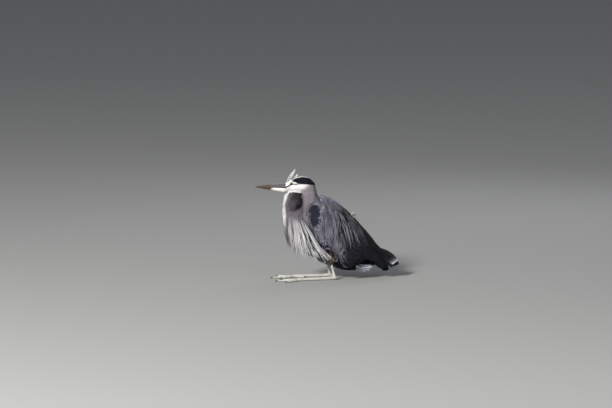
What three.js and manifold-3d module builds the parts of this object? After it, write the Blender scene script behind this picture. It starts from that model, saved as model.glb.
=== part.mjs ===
// Great blue heron, adult, life size, resting on its tarsi with the neck folded: a still display model.
// Millimetres, +Z up. The bird faces -X and its left side is -Y. The floor is Z = 0.
import * as THREE from "three";
import { mergeVertices } from "three/addons/utils/BufferGeometryUtils.js";
import Module from "manifold-3d";

const wasm = await Module();
wasm.setup();

// ---------------------------------------------------------------- driving sizes
const gap = 0.4; // clearance between neighbouring pieces
const billLength = 146; // culmen, feather edge to tip
const billRoot = { x: -221, z: 424 }; // where the culmen leaves the forehead, at the gape line
const billRise = 8.5; // how much higher the tip is than the root
const billDepth = { upper: 21.5, lower: 20 };
const billHalfWidth = 12;
const eyeRadius = 8;
const eyeAt = { x: -198, y: 12, z: 447 };
const tarsusLength = 172;
const ankle = { x: -2, y: 48, z: 11 };
const legSplay = 10; // how far the foot joint lies outside the ankle
const footSize = { middle: 98, inner: 74, outer: 78, hind: 50 };
// Degrees from straight ahead, inwards positive.
const toeAngle = { middle: 2, inner: 30, outer: -34, hind: 168 };
const clawLength = 13;
const originShift = 28.8; // from the ankles forward to the middle of the bird's length

const X = new THREE.Vector3(1, 0, 0);
const Y = new THREE.Vector3(0, 1, 0);

// ---------------------------------------------------------------- colours
const finish = (color, roughness) => new THREE.MeshStandardMaterial({ color, roughness, metalness: 0 });
const blueGrey = finish(0x757a8a, 0.85);
const slate = finish(0x31343f, 0.8);
const nearBlack = finish(0x14151b, 0.8);
const white = finish(0xe4e2de, 0.85);
const mauveGrey = finish(0x9a8f90, 0.85);
const paleGrey = finish(0xb4b0b0, 0.85);
const rufous = finish(0x7d5238, 0.85);
const billHorn = finish(0xb98a4e, 0.45);
const legSkin = finish(0x8d8672, 0.6);
const eyeGlass = finish(0xd9b431, 0.15);
const clawHorn = finish(0x2a2622, 0.4);

// ---------------------------------------------------------------- solid makers
function solidOf(geometry) {
  const bare = new THREE.BufferGeometry().setAttribute("position", geometry.getAttribute("position"));
  bare.setIndex(geometry.index);
  const merged = mergeVertices(bare, 1e-3);
  return new wasm.Manifold(
    new wasm.Mesh({
      numProp: 3,
      vertProperties: merged.attributes.position.array,
      triVerts: new Uint32Array(merged.index.array),
    }),
  );
}

// A closed surface over a row of rings, with a pole in the middle of each end ring.
function skinOver(rings) {
  const sides = rings[0].length;
  const points = rings.flat();
  const middle = (ring) => ring.reduce((sum, p) => sum.add(p), new THREE.Vector3()).divideScalar(sides);
  points.push(middle(rings[0]), middle(rings.at(-1)));
  const [firstPole, lastPole] = [points.length - 2, points.length - 1];
  const faces = [];
  for (let i = 0; i < sides; i++) {
    const j = (i + 1) % sides;
    const top = (rings.length - 1) * sides;
    faces.push(firstPole, j, i, lastPole, top + i, top + j);
    for (let r = 0; r < rings.length - 1; r++) {
      const [a, b, c, d] = [r * sides + i, r * sides + j, (r + 1) * sides + i, (r + 1) * sides + j];
      faces.push(a, b, d, a, d, c);
    }
  }
  const geometry = new THREE.BufferGeometry().setFromPoints(points);
  geometry.setIndex(faces);
  const solid = solidOf(geometry);
  if (solid.volume() > 0) return solid;
  geometry.setIndex(faces.map((_, k) => faces[k - (k % 3) + 2 - (k % 3)]));
  return solidOf(geometry);
}

// Smooth values between the stations of a table: each row is a station, each column a size.
function blendRows(rows, t) {
  const place = t * (rows.length - 1);
  const i = Math.min(Math.floor(place), rows.length - 2);
  const u = place - i;
  const at = (k) => rows[Math.max(0, Math.min(rows.length - 1, k))];
  return rows[i].map((_, c) => {
    const [p0, p1, p2, p3] = [at(i - 1)[c], at(i)[c], at(i + 1)[c], at(i + 2)[c]];
    const [m1, m2] = [(p2 - p0) / 2, (p3 - p1) / 2];
    const [u2, u3] = [u * u, u * u * u];
    return (2 * u3 - 3 * u2 + 1) * p1 + (u3 - 2 * u2 + u) * m1 + (3 * u2 - 2 * u3) * p2 + (u3 - u2) * m2;
  });
}

// A limb: oval sections along a bent line. Each station is [x, y, z, up, down, side]: the section's reach
// above and below the line, and to each side. The ends are domed by `dome` times the section there, with a
// ring at each of `domeAngles`.
const limbStyle = { sides: 12, steps: 5, dome: [0.7, 0.7], domeAngles: [66, 30], grow: 0, across: Y };
function limb(stations, style = {}) {
  const { sides, steps, dome, domeAngles, grow, across } = { ...limbStyle, ...style };
  const centre = (t) => new THREE.Vector3(...blendRows(stations, t).slice(0, 3));
  const frameAt = (t) => {
    const [before, after] = [Math.max(0, t - 0.01), Math.min(1, t + 0.01)];
    const along = centre(after).sub(centre(before)).normalize();
    const side = across.clone().addScaledVector(along, -along.dot(across)).normalize();
    return { along, side, up: side.clone().cross(along).normalize() };
  };
  const ringAt = (t, slide, shrink) => {
    const [, , , up, down, side] = blendRows(stations, t).map((v) => Math.max(v, 0.15));
    const frame = frameAt(t);
    const middle = centre(t).addScaledVector(frame.along, slide);
    return Array.from({ length: sides }, (_, k) => {
      const angle = (2 * Math.PI * k) / sides;
      const reach = Math.cos(angle) > 0 ? up : down;
      return middle
        .clone()
        .addScaledVector(frame.up, (reach + grow) * shrink * Math.cos(angle))
        .addScaledVector(frame.side, (side + grow) * shrink * Math.sin(angle));
    });
  };
  const endSize = (t) => {
    const [, , , up, down, side] = blendRows(stations, t);
    return Math.min((up + down) / 2, side);
  };
  const domeRings = (t, size, sign) =>
    domeAngles.map((degrees) => {
      const a = THREE.MathUtils.degToRad(degrees);
      return ringAt(t, sign * (size * endSize(t) + grow) * Math.sin(a), Math.cos(a));
    });
  const rings = Array.from({ length: steps + 1 }, (_, k) => ringAt(k / steps, 0, 1));
  return skinOver([...domeRings(0, dome[0], -1), ...rings, ...domeRings(1, dome[1], 1).reverse()]);
}

const largest = (solid) => solid.decompose().sort((a, b) => b.volume() - a.volume())[0];
const cut = (solid, ...tools) => largest(tools.reduce((left, tool) => left.subtract(tool), solid));

// A very large box on one side of the upright plane through (x1, z1) and (x2, z2), `inset` away from it.
function halfSpace([x1, z1], [x2, z2], sign, inset = gap / 2) {
  const size = 2000;
  const along = new THREE.Vector3(x2 - x1, 0, z2 - z1).normalize();
  const normal = new THREE.Vector3(-along.z, 0, along.x).multiplyScalar(sign);
  const box = new THREE.BoxGeometry(size, size, size);
  const turn = new THREE.Matrix4().makeBasis(along, Y, normal.clone());
  if (turn.determinant() < 0) turn.makeBasis(along.clone().negate(), Y, normal.clone());
  const middle = new THREE.Vector3(x1, 0, z1).addScaledVector(normal, size / 2 + inset);
  return solidOf(box.applyMatrix4(turn.setPosition(middle)));
}

function block(low, high) {
  const [size, middle] = [high.map((v, i) => v - low[i]), high.map((v, i) => (v + low[i]) / 2)];
  return solidOf(new THREE.BoxGeometry(...size).translate(...middle));
}

// ---------------------------------------------------------------- the forms, before they are cut apart
const onMidline = (rows) => rows.map(([x, z, up, down, side]) => [x, 0, z, up, down, side]);

// Bill: both halves meet on the gape line, which runs straight from the tip to below the eye.
const gapeAt = (share) => [billRoot.x - billLength * share, billRoot.z + billRise * share];
const billShares = [-0.09, 0.15, 0.5, 0.8, 0.995];
const billTaper = (half, share) => {
  const [straight, curved] = half === "upper" ? [0.62, 0.33] : [0.8, 0.15];
  return Math.max(1 - straight * share - curved * share ** 3, 0.05);
};
const billHalf = (half) => (grow) =>
  limb(
    onMidline(
      billShares.map((share) => {
        const [x, z] = gapeAt(share);
        const reach = billDepth[half] * billTaper(half, share);
        const side = billHalfWidth * billTaper("upper", share) * (half === "upper" ? 1 : 0.9);
        return half === "upper" ? [x, z + gap / 2, reach, 0.1, side] : [x, z - gap / 2, 0.1, reach, side];
      }),
    ),
    { sides: 8, steps: 5, dome: [0.2, 0.6], domeAngles: [45], grow },
  );

const head = (grow) =>
  limb(
    onMidline([
      [-96, 430, 20, 30, 21],
      [-120, 437, 34, 40, 27],
      [-148, 439, 38, 42, 28],
      [-176, 438, 32, 38, 25],
      [-204, 434, 22, 28, 19],
      [-229, 430, 14, 19, 13],
    ]),
    { sides: 10, steps: 5, dome: [0.6, 0.5], domeAngles: [50], grow },
  );
const chin = (grow) =>
  limb(
    onMidline([
      [-196, 416, 8, 17, 12],
      [-226, 412, 6, 8, 9],
      [-240, 412, 4, 5, 5],
    ]),
    { sides: 6, steps: 2, domeAngles: [45], grow },
  );
const eyeBall = (side) => (grow) =>
  solidOf(
    new THREE.SphereGeometry(eyeRadius + grow, 10, 6)
      .rotateX(Math.PI / 2)
      .translate(eyeAt.x, side * eyeAt.y, eyeAt.z),
  );

// Crest: two raised tufts over the forehead.
const crestFront = (grow) =>
  limb(
    onMidline([
      [-207, 444, 20, 14, 11],
      [-197, 470, 11, 10, 7],
      [-186, 494, 4.5, 5, 3.5],
      [-177, 511, 0.8, 0.8, 0.8],
    ]),
    { sides: 6, steps: 3, dome: [0.5, 0.5], domeAngles: [45], grow },
  );
const crestRear = (grow) =>
  limb(
    onMidline([
      [-182, 458, 9, 9, 8],
      [-174, 474, 5, 6, 5],
      [-166, 488, 0.8, 0.8, 0.8],
    ]),
    { sides: 6, steps: 2, dome: [0.5, 0.5], domeAngles: [45], grow },
  );

// Neck: it drops from the back of the head, folds forward under itself, and bulges below the chin.
const neckUpper = (grow) =>
  limb(
    onMidline([
      [-116, 425, 32, 32, 27],
      [-107, 388, 43, 33, 30],
      [-105, 348, 42, 34, 34],
      [-113, 308, 42, 38, 40],
      [-130, 268, 46, 46, 50],
    ]),
    { sides: 12, steps: 5, dome: [0.5, 0.7], domeAngles: [50], grow },
  );
const neckFold = (grow) =>
  limb(
    onMidline([
      [-186, 388, 44, 46, 26],
      [-186, 358, 49, 52, 33],
      [-186, 326, 52, 53, 38],
      [-182, 294, 55, 55, 42],
      [-172, 262, 60, 60, 48],
    ]),
    { sides: 12, steps: 5, dome: [0.7, 0.5], domeAngles: [60, 30], grow },
  );
const neckBase = (grow) =>
  limb(
    onMidline([
      [-170, 276, 60, 58, 50],
      [-156, 234, 62, 62, 58],
      [-132, 192, 58, 60, 63],
      [-104, 154, 46, 46, 58],
      [-80, 124, 28, 26, 44],
    ]),
    { sides: 12, steps: 5, dome: [0.6, 0.7], domeAngles: [50], grow },
  );

const trunk = (grow) =>
  limb(
    onMidline([
      [-94, 320, 46, 50, 46],
      [-52, 286, 80, 78, 68],
      [10, 238, 90, 84, 78],
      [68, 191, 84, 72, 72],
      [124, 148, 62, 52, 56],
      [172, 112, 40, 32, 40],
      [212, 84, 30, 22, 30],
    ]),
    { sides: 14, steps: 6, dome: [0.6, 0.9], domeAngles: [50], grow },
  );
const belly = (grow) =>
  limb(
    onMidline([
      [-72, 142, 34, 24, 42],
      [-30, 110, 46, 42, 60],
      [46, 88, 50, 46, 64],
      [118, 74, 42, 41, 52],
      [184, 78, 26, 30, 30],
    ]),
    { sides: 10, steps: 5, dome: [0.7, 0.7], domeAngles: [50], grow },
  );

// Legs: feathered thigh, bare shank, and the tarsus laid flat along the floor.
const thigh = (side) => (grow) =>
  limb(
    [
      [-62, 44, 206, 44, 44, 26],
      [-48, 48, 162, 42, 38, 26],
      [-32, 50, 116, 28, 26, 21],
      [-17, 49, 74, 12, 12, 11],
    ].map(([x, y, ...rest]) => [x, side * y, ...rest]),
    { sides: 8, steps: 3, dome: [0.6, 0.5], domeAngles: [45], grow },
  );
const shank = (side) => (grow) =>
  limb(
    [
      [-20, 49.5, 84, 6, 6, 5.5],
      [-14, 49, 56, 5.5, 5.5, 5],
      [-8, 48.5, 34, 6.5, 6.5, 6],
    ].map(([x, y, ...rest]) => [x, side * y, ...rest]),
    { sides: 6, steps: 2, domeAngles: [45], grow },
  );
const footJoint = (side) => [ankle.x - tarsusLength, side * (ankle.y + legSplay), 8];
const tarsus = (side) => (grow) => {
  const [fx, fy, fz] = footJoint(side);
  const between = (share, z, up, down, wide) => [
    THREE.MathUtils.lerp(ankle.x, fx, share),
    THREE.MathUtils.lerp(side * ankle.y, fy, share),
    z,
    up,
    down,
    wide,
  ];
  const shaft = limb(
    [
      between(-0.03, ankle.z + 1, 11, 13, 10),
      between(0.06, ankle.z, 9.5, 12.5, 9),
      between(0.2, 9, 6.5, 9.4, 6),
      between(0.6, 8, 6, 8.4, 5.5),
      between(0.92, fz, 7, 9, 7),
    ],
    { sides: 8, steps: 4, dome: [0.8, 0.8], domeAngles: [45], grow },
  );
  const hock = limb(
    [
      [-9, side * 48.5, 33, 6.5, 7, 6.5],
      [-5, side * 48, 16, 9, 9, 9],
    ],
    { sides: 6, steps: 1, dome: [0.2, 0.5], domeAngles: [45], grow },
  );
  return shaft.add(hock).intersect(block([-400, -200, -2 * grow], [200, 200, 200]));
};

// Foot: three toes forward and one behind, each thickened at its joints and flat below.
function toeLine(side, name) {
  const [fx, fy, fz] = footJoint(side);
  const angle = THREE.MathUtils.degToRad(toeAngle[name]);
  const length = footSize[name];
  return (share, lift = 0) => [
    fx - Math.cos(angle) * length * share,
    fy - side * Math.sin(angle) * length * share,
    fz - 2.2 + lift,
  ];
}
const toe = (side, name) => {
  const at = toeLine(side, name);
  const segments = 3;
  return limb(
    Array.from({ length: segments + 1 }, (_, k) => {
      const share = k / segments;
      const girth = (6.4 - 2.6 * share) * (k % 2 ? 0.86 : 1);
      return [...at(share, -1.6 * share), girth * 0.95, 8, girth];
    }),
    { sides: 6, steps: segments, dome: [0.5, 0.5], domeAngles: [45] },
  );
};
const foot = (side) =>
  Object.keys(footSize)
    .map((name) => toe(side, name))
    .reduce((joined, one) => joined.add(one))
    .intersect(block([-400, -200, 0], [200, 200, 60]));
const claw = (side, name) => {
  const at = toeLine(side, name);
  const share = (extra) => 1 + extra / footSize[name];
  return limb(
    [
      [...at(share(3.2), -1.6), 2.8, 2.8, 2.3],
      [...at(share(3.2 + clawLength / 2), -1), 2, 2, 1.6],
      [...at(share(3.2 + clawLength), -4.4), 0.5, 0.5, 0.4],
    ],
    { sides: 4, steps: 2, dome: [0.3, 0.5], domeAngles: [45] },
  ).intersect(block([-500, -300, 0], [300, 300, 60]));
};

// A tuft of down that stands out of the middle of the back.
const backTuft = (grow) =>
  limb(
    onMidline([
      [84, 272, 11, 11, 9],
      [98, 296, 9, 9, 8],
    ]),
    { sides: 6, steps: 1, dome: [0.3, 0.9], domeAngles: [45], grow },
  );

// Cloak: the closed wings and the mantle as one arched shape, in sections across the bird.
// Each row is [x, ridge height, hem height, half width].
const cloakRows = [
  [-136, 340, 304, 56],
  [-120, 364, 258, 77],
  [-92, 382, 218, 89],
  [-52, 392, 172, 97],
  [-12, 377, 92, 102],
  [26, 349, 40, 106],
  [66, 316, 36, 107],
  [106, 274, 66, 104],
  [146, 230, 79, 94],
  [186, 181, 68, 76],
  [218, 137, 30, 60],
  [242, 95, 26, 48],
  [258, 54, 30, 40],
];
const cloakThickness = 13;

function archRing([x, ridge, hem, half], steps) {
  const arch = Array.from({ length: steps + 1 }, (_, k) => {
    const v = k / steps;
    const widening = Math.sin((Math.PI / 2) * (v / 0.62)) ** 0.85;
    const spread = v < 0.62 ? widening : 1 - 0.22 * ((v - 0.62) / 0.38) ** 2;
    return [half * spread, ridge - (ridge - hem) * (0.32 * v + 0.68 * v ** 1.35)];
  });
  const left = arch.slice(1).reverse();
  return [
    ...left.map(([y, z]) => new THREE.Vector3(x, -y, z)),
    ...arch.map(([y, z]) => new THREE.Vector3(x, y, z)),
  ];
}
const cloakStep = 12;
const archStep = 5;
const cloak = (inset = 0, drop = 0) =>
  skinOver(
    Array.from({ length: cloakStep + 1 }, (_, k) => {
      const [x, ridge, hem, half] = blendRows(cloakRows, k / cloakStep);
      const lowered = Math.min(hem - drop, ridge - inset - 4);
      return archRing([x, ridge - inset, lowered, Math.max(half - inset, 6)], archStep);
    }),
  ).intersect(block([-400, -400, -drop], [400, 400, 600]));
// The room under the cloak, so that the wings are hanging walls.
const underCloak = cloak(cloakThickness, 60).subtract(block([-200, -200, 175], [400, 200, 600]));

// Tail: a closed fan, arched across, from the rump to its rounded tip. Each row is
// [x, height of the middle feathers, half width, drop of the outer feathers, thickness].
const tailRoot = 200;
const tailRows = [
  [tailRoot + gap, 136, 30, 22, 52],
  [232, 130, 44, 42, 26],
  [268, 112, 52, 50, 14],
  [294, 89, 45, 28, 9],
  [309, 69, 24, 8, 6],
];
function tailForm(grow) {
  const steps = 6;
  const count = 5;
  return skinOver(
    Array.from({ length: count + 1 }, (_, k) => {
      const [x, top, half, sag, thickness] = blendRows(tailRows, k / count);
      const row = (lift) =>
        Array.from({ length: steps + 1 }, (_, i) => {
          const y = (half + grow) * ((2 * i) / steps - 1);
          return new THREE.Vector3(x, y, top - sag * Math.abs(y / half) ** 1.7 + lift);
        });
      return [...row(2 * grow), ...row(-thickness - 2 * grow).reverse()];
    }),
  );
}

// Breast plumes: hanging locks on a pad that covers the front of the neck's base.
// Each lock is [angle round the breast, root height, tip height, how far back its tip leans, how far out].
const lockWidth = 9;
const breastPad = (low, high) => (grow) =>
  limb(
    onMidline([
      [-176, 262, 64, 62, 57],
      [-160, 232, 68, 68, 65],
      [-140, 204, 62, 66, 68],
    ]),
    { sides: 10, steps: 2, dome: [0.2, 0.2], domeAngles: [45], grow },
  ).intersect(block([-400, low, 0], [-90, high, 300]));
function lock(degrees, rootZ, tipZ, lean, spread = 0.06) {
  const angle = THREE.MathUtils.degToRad(degrees);
  const [cx, rx, ry] = [-152 - (rootZ - 215) * 0.35, 66, 61];
  const [x, y] = [cx - rx * Math.cos(angle), ry * Math.sin(angle)];
  const across = new THREE.Vector3(Math.sin(angle), Math.cos(angle), 0);
  const at = (share, thick, wide) => [
    x + lean * share,
    y * (1 + spread * share),
    THREE.MathUtils.lerp(rootZ, tipZ, share),
    thick,
    thick,
    wide,
  ];
  return limb(
    [at(0, 6, lockWidth), at(0.4, 5, lockWidth * 1.05), at(0.8, 2.6, lockWidth * 0.6), at(1, 0.5, 0.7)],
    { sides: 4, steps: 3, domeAngles: [45], across },
  );
}
const centreLocks = [
  [-14, 250, 208, -4],
  [0, 238, 186, 2],
  [14, 250, 204, -4],
];
const sideLocks = [
  [29, 246, 174, 6],
  [45, 240, 142, 12],
  [61, 232, 118, 20],
  [77, 226, 128, 30],
  [93, 218, 98, 60, 0.2],
  [108, 212, 84, 104, 0.32],
];
const plumes = (pad, locks) =>
  locks.map((row) => lock(...row)).reduce((joined, one) => joined.add(one), pad);

// ---------------------------------------------------------------- cutting the forms apart
const heron = new THREE.Group();
function addPiece(name, solid, material) {
  const { vertProperties, triVerts } = solid.getMesh();
  const geometry = new THREE.BufferGeometry();
  geometry.setAttribute("position", new THREE.BufferAttribute(vertProperties, 3));
  geometry.setIndex(new THREE.BufferAttribute(triVerts, 1));
  geometry.computeVertexNormals();
  const piece = new THREE.Mesh(geometry, material);
  piece.name = name;
  heron.add(piece);
}
const bothSides = { left: -1, right: 1 };
const eachSide = (make) => Object.entries(bothSides).map(([name, side]) => make(name, side));

const billUpper = billHalf("upper");
const billLower = billHalf("lower");
addPiece("bill_upper", billUpper(0), billHorn);
addPiece("bill_lower", billLower(0), billHorn);
eachSide((name, side) => addPiece(`eye_${name}`, eyeBall(side)(0), eyeGlass));

const headTools = [billUpper(gap), billLower(gap), eyeBall(-1)(gap), eyeBall(1)(gap)];
addPiece("head", cut(head(0).add(chin(0)), ...headTools), white);
const headGrown = head(gap).add(chin(gap));
addPiece("crest_front", cut(crestFront(0), headGrown, ...headTools), white);
addPiece("crest_rear", cut(crestRear(0), headGrown, crestFront(gap)), white);

addPiece("neck_upper", cut(neckUpper(0), headGrown), mauveGrey);
addPiece("neck_fold", cut(neckFold(0), headGrown, neckUpper(gap)), mauveGrey);
addPiece("neck_base", cut(neckBase(0), neckUpper(gap), neckFold(gap)), paleGrey);

const neckTools = [neckUpper(gap), neckFold(gap), neckBase(gap)];
const beforeTail = block([-300, -200, 0], [tailRoot, 200, 600]);
addPiece("trunk", cut(trunk(0), headGrown, ...neckTools).intersect(beforeTail), slate);
eachSide((name, side) => {
  addPiece(`thigh_${name}`, cut(thigh(side)(0), trunk(gap), ...neckTools), rufous);
  addPiece(`shank_${name}`, cut(shank(side)(0), thigh(side)(gap), tarsus(side)(gap)), legSkin);
  const toesGrown = Object.keys(footSize).map((toeName) => toe(side, toeName));
  addPiece(`foot_${name}`, cut(foot(side), tarsus(side)(gap)), legSkin);
  addPiece(`tarsus_${name}`, tarsus(side)(0), legSkin);
  Object.keys(footSize).forEach((toeName) =>
    addPiece(`claw_${name}_${toeName}`, cut(claw(side, toeName), ...toesGrown), clawHorn),
  );
});
const legTools = [-1, 1].flatMap((side) => [thigh(side)(gap), shank(side)(gap), tarsus(side)(gap)]);
addPiece("belly", cut(belly(0).intersect(beforeTail), trunk(gap), ...neckTools, ...legTools), white);

addPiece("tail", tailForm(0), slate);

const bodyTools = [headGrown, trunk(gap), ...neckTools, ...legTools, belly(gap), tailForm(gap)];
const cloakTools = [...bodyTools, underCloak, backTuft(gap)];
const wings = cloakTools.reduce((left, tool) => left.subtract(tool), cloak());
const mantleHalf = 36;
const mantleFrom = -74;
const mantleTo = 196;
const mantleBand = (inset) =>
  block([mantleFrom + inset, -mantleHalf + inset, 60], [mantleTo - inset, mantleHalf - inset, 600]);
addPiece("tuft_back", cut(backTuft(0), trunk(gap)), white);
addPiece("mantle", largest(wings.intersect(mantleBand(gap / 2))), blueGrey);

// The lines that part a wing, each through two points of the side view.
const shoulderLine = [[-82, 370], [-100, 240]];
const scapularLine = [[-62, 316], [196, 118]];
const covertLine = [[24, 300], [34, 20]];
const primaryLine = [[128, 180], [176, 0]];
const sideSpace = (side) =>
  side < 0 ? block([-400, -300, -10], [400, -gap / 2, 600]) : block([-400, gap / 2, -10], [400, 300, 600]);
eachSide((name, side) => {
  const flank = wings.subtract(mantleBand(-gap / 2)).intersect(sideSpace(side));
  const ahead = halfSpace(...shoulderLine, -1);
  const behind = halfSpace(...shoulderLine, 1);
  const above = halfSpace(...scapularLine, 1);
  const below = halfSpace(...scapularLine, -1);
  const piece = (...tools) => largest(tools.reduce((left, tool) => left.intersect(tool), flank));
  addPiece(`wing_${name}_shoulder`, piece(ahead), nearBlack);
  addPiece(`wing_${name}_scapulars`, piece(behind, above), blueGrey);
  addPiece(`wing_${name}_coverts`, piece(behind, below, halfSpace(...covertLine, -1)), blueGrey);
  addPiece(
    `wing_${name}_secondaries`,
    piece(behind, below, halfSpace(...covertLine, 1), halfSpace(...primaryLine, -1)),
    slate,
  );
  addPiece(`wing_${name}_primaries`, piece(behind, below, halfSpace(...primaryLine, 1)), nearBlack);
});

const plumeTools = [...neckTools, trunk(gap), belly(gap), ...legTools, cloak(-gap)];
const centreHalf = 24;
const mirrored = (locks) => locks.map(([angle, ...rest]) => [-angle, ...rest]);
const slab = (low, high) => block([-500, low, -10], [200, high, 400]);
addPiece(
  "plumes_front",
  cut(
    plumes(breastPad(-centreHalf, centreHalf)(0), centreLocks).intersect(slab(-centreHalf, centreHalf)),
    ...plumeTools,
  ),
  paleGrey,
);
const rightPlumes = plumes(breastPad(centreHalf, 200)(0), sideLocks).intersect(slab(centreHalf + gap, 300));
addPiece("plumes_right", cut(rightPlumes, ...plumeTools), paleGrey);
const leftPlumes = plumes(breastPad(-200, -centreHalf)(0), mirrored(sideLocks)).intersect(
  slab(-300, -centreHalf - gap),
);
addPiece("plumes_left", cut(leftPlumes, ...plumeTools), paleGrey);

heron.position.x = originShift;
export default heron;
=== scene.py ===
import math
import bpy
import numpy as np
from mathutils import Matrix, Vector
from mathutils.bvhtree import BVHTree


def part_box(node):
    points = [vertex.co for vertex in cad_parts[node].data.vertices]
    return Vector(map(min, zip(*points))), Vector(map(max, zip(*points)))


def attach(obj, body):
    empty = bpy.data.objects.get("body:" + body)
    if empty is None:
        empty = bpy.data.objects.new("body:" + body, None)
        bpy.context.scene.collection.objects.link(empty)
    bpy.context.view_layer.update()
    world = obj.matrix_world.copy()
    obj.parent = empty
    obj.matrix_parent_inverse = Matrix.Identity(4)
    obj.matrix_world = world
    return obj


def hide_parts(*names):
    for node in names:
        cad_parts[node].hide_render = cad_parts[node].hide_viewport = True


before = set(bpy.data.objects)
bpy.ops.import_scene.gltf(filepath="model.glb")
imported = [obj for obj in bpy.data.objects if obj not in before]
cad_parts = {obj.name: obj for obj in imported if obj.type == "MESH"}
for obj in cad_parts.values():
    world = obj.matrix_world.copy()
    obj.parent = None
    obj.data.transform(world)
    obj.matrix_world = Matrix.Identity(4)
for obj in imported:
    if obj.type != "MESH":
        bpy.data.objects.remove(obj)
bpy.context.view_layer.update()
dice = np.random.default_rng(41)
bird = {"ankleX": 0.0288}  # the ankles' place along the bird, from which the lengths below are told
wingSides = ("left", "right")
print("frame loaded:", len(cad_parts), "nodes")

# feather and skin tones, as seen on screen
screenTones = {
    "white": (0.965, 0.96, 0.955),
    "dullWhite": (0.80, 0.78, 0.77),
    "crownBlack": (0.05, 0.05, 0.085),
    "crownGrey": (0.26, 0.26, 0.31),
    "cheekGrey": (0.53, 0.505, 0.535),
    "napeGrey": (0.40, 0.375, 0.40),
    "mauve": (0.335, 0.315, 0.33),
    "mauveDark": (0.195, 0.175, 0.19),
    "mauvePale": (0.465, 0.44, 0.465),
    "plumeWhite": (0.93, 0.925, 0.935),
    "plumeGrey": (0.52, 0.505, 0.525),
    "plumeDark": (0.20, 0.19, 0.21),
    "shoulderBlack": (0.145, 0.155, 0.215),
    "mantlePale": (0.545, 0.545, 0.61),
    "mantleGrey": (0.405, 0.405, 0.47),
    "covertGrey": (0.36, 0.355, 0.41),
    "covertPale": (0.53, 0.52, 0.565),
    "scapularDark": (0.135, 0.14, 0.18),
    "slate": (0.095, 0.10, 0.135),
    "primaryDark": (0.045, 0.05, 0.075),
    "tailSlate": (0.05, 0.055, 0.085),
    "flankBlack": (0.065, 0.065, 0.085),
    "rufous": (0.25, 0.20, 0.175),
    "rufousPale": (0.38, 0.32, 0.28),
    "bellyWhite": (0.90, 0.90, 0.91),
    "filament": (0.60, 0.595, 0.63),
    "flush": (0.62, 0.47, 0.38),
    "ventPale": (0.90, 0.91, 0.95),
    "loreSkin": (0.60, 0.62, 0.40),
}


def linear(tone):
    return tuple(c / 12.92 if c <= 0.04045 else ((c + 0.055) / 1.055) ** 2.4 for c in tone)


tones = {name: np.array(linear(tone)) for name, tone in screenTones.items()}


def smoothStep(low, high, value):
    t = np.clip((value - low) / (high - low), 0, 1)
    return t * t * (3 - 2 * t)


def blendTones(a, b, share):
    share = np.asarray(share)[:, None]
    return a * (1 - share) + b * share


def newMaterial(name, roughness, specular=0.35, sheen=0.0, coat=0.0):
    material = bpy.data.materials.new(name)
    material.use_nodes = True
    shader = material.node_tree.nodes["Principled BSDF"]
    shader.inputs["Roughness"].default_value = roughness
    shader.inputs["Specular IOR Level"].default_value = specular
    shader.inputs["Sheen Weight"].default_value = sheen
    shader.inputs["Coat Weight"].default_value = coat
    return material, shader


def plainMaterial(name, colour, roughness, specular):
    material, shader = newMaterial(name, roughness, specular)
    shader.inputs["Base Color"].default_value = (*colour, 1)
    return material


def addNode(tree, kind, settings=None, **sockets):
    node = tree.nodes.new(kind)
    for key, value in (settings or {}).items():
        setattr(node, key, value)
    for key, value in sockets.items():
        node.inputs[key].default_value = value
    return node


def mathNode(tree, operation, a, b=None, clamp=False):
    node = tree.nodes.new("ShaderNodeMath")
    node.operation = operation
    node.use_clamp = clamp
    for socket, value in ((0, a), (1, b)):
        if value is None:
            continue
        if isinstance(value, (int, float)):
            node.inputs[socket].default_value = value
        else:
            tree.links.new(value, node.inputs[socket])
    return node.outputs[0]


def scaledNode(tree, value, factor, shift):
    return mathNode(tree, "ADD", mathNode(tree, "MULTIPLY", value, factor), shift)


def mixColour(tree, blend, factor, a, b):
    node = addNode(tree, "ShaderNodeMix", {"data_type": "RGBA", "blend_type": blend})
    for socket, value in ((node.inputs["Factor"], factor), (node.inputs[6], a), (node.inputs[7], b)):
        if isinstance(value, (int, float)):
            socket.default_value = value
        elif isinstance(value, tuple):
            socket.default_value = (*value, 1) if len(value) == 3 else value
        else:
            tree.links.new(value, socket)
    return node.outputs[2]


def attributeNode(tree, name):
    return addNode(tree, "ShaderNodeAttribute", {"attribute_name": name})


def placeNode(tree):
    return addNode(tree, "ShaderNodeTexCoord").outputs["Object"]


def noiseNode(tree, scale, detail, roughness=0.5):
    node = addNode(tree, "ShaderNodeTexNoise", None, Scale=scale, Detail=detail, Roughness=roughness)
    tree.links.new(placeNode(tree), node.inputs["Vector"])
    return node.outputs["Fac"]


def shadedTint(tree, shade):
    # the piece's own tint, darkened by a shade
    grey = addNode(tree, "ShaderNodeCombineXYZ")
    for socket in grey.inputs:
        tree.links.new(shade, socket)
    return mixColour(tree, "MULTIPLY", 1.0, attributeNode(tree, "tint").outputs["Color"], grey.outputs[0])


def finishSurface(material, shader, colour, height, strength, distance):
    tree = material.node_tree
    tree.links.new(colour, shader.inputs["Base Color"])
    bump = addNode(tree, "ShaderNodeBump", None, Strength=strength, Distance=distance)
    tree.links.new(height, bump.inputs["Height"])
    tree.links.new(bump.outputs[0], shader.inputs["Normal"])
    return material


featherFinish = {"specular": 0.12, "sheen": 0.02, "waverScale": 90.0, "waver": 0.05, "fullTurn": 6.283,
                 "mottleScale": 38.0, "mottleLow": 0.82, "mottleRange": 0.36, "shaftHalf": 0.035,
                 "shaftColour": (0.02, 0.018, 0.018), "rimFrom": 0.36, "rimRise": 7.0,
                 "bump": 0.35, "bumpDepth": 0.0004}


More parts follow.
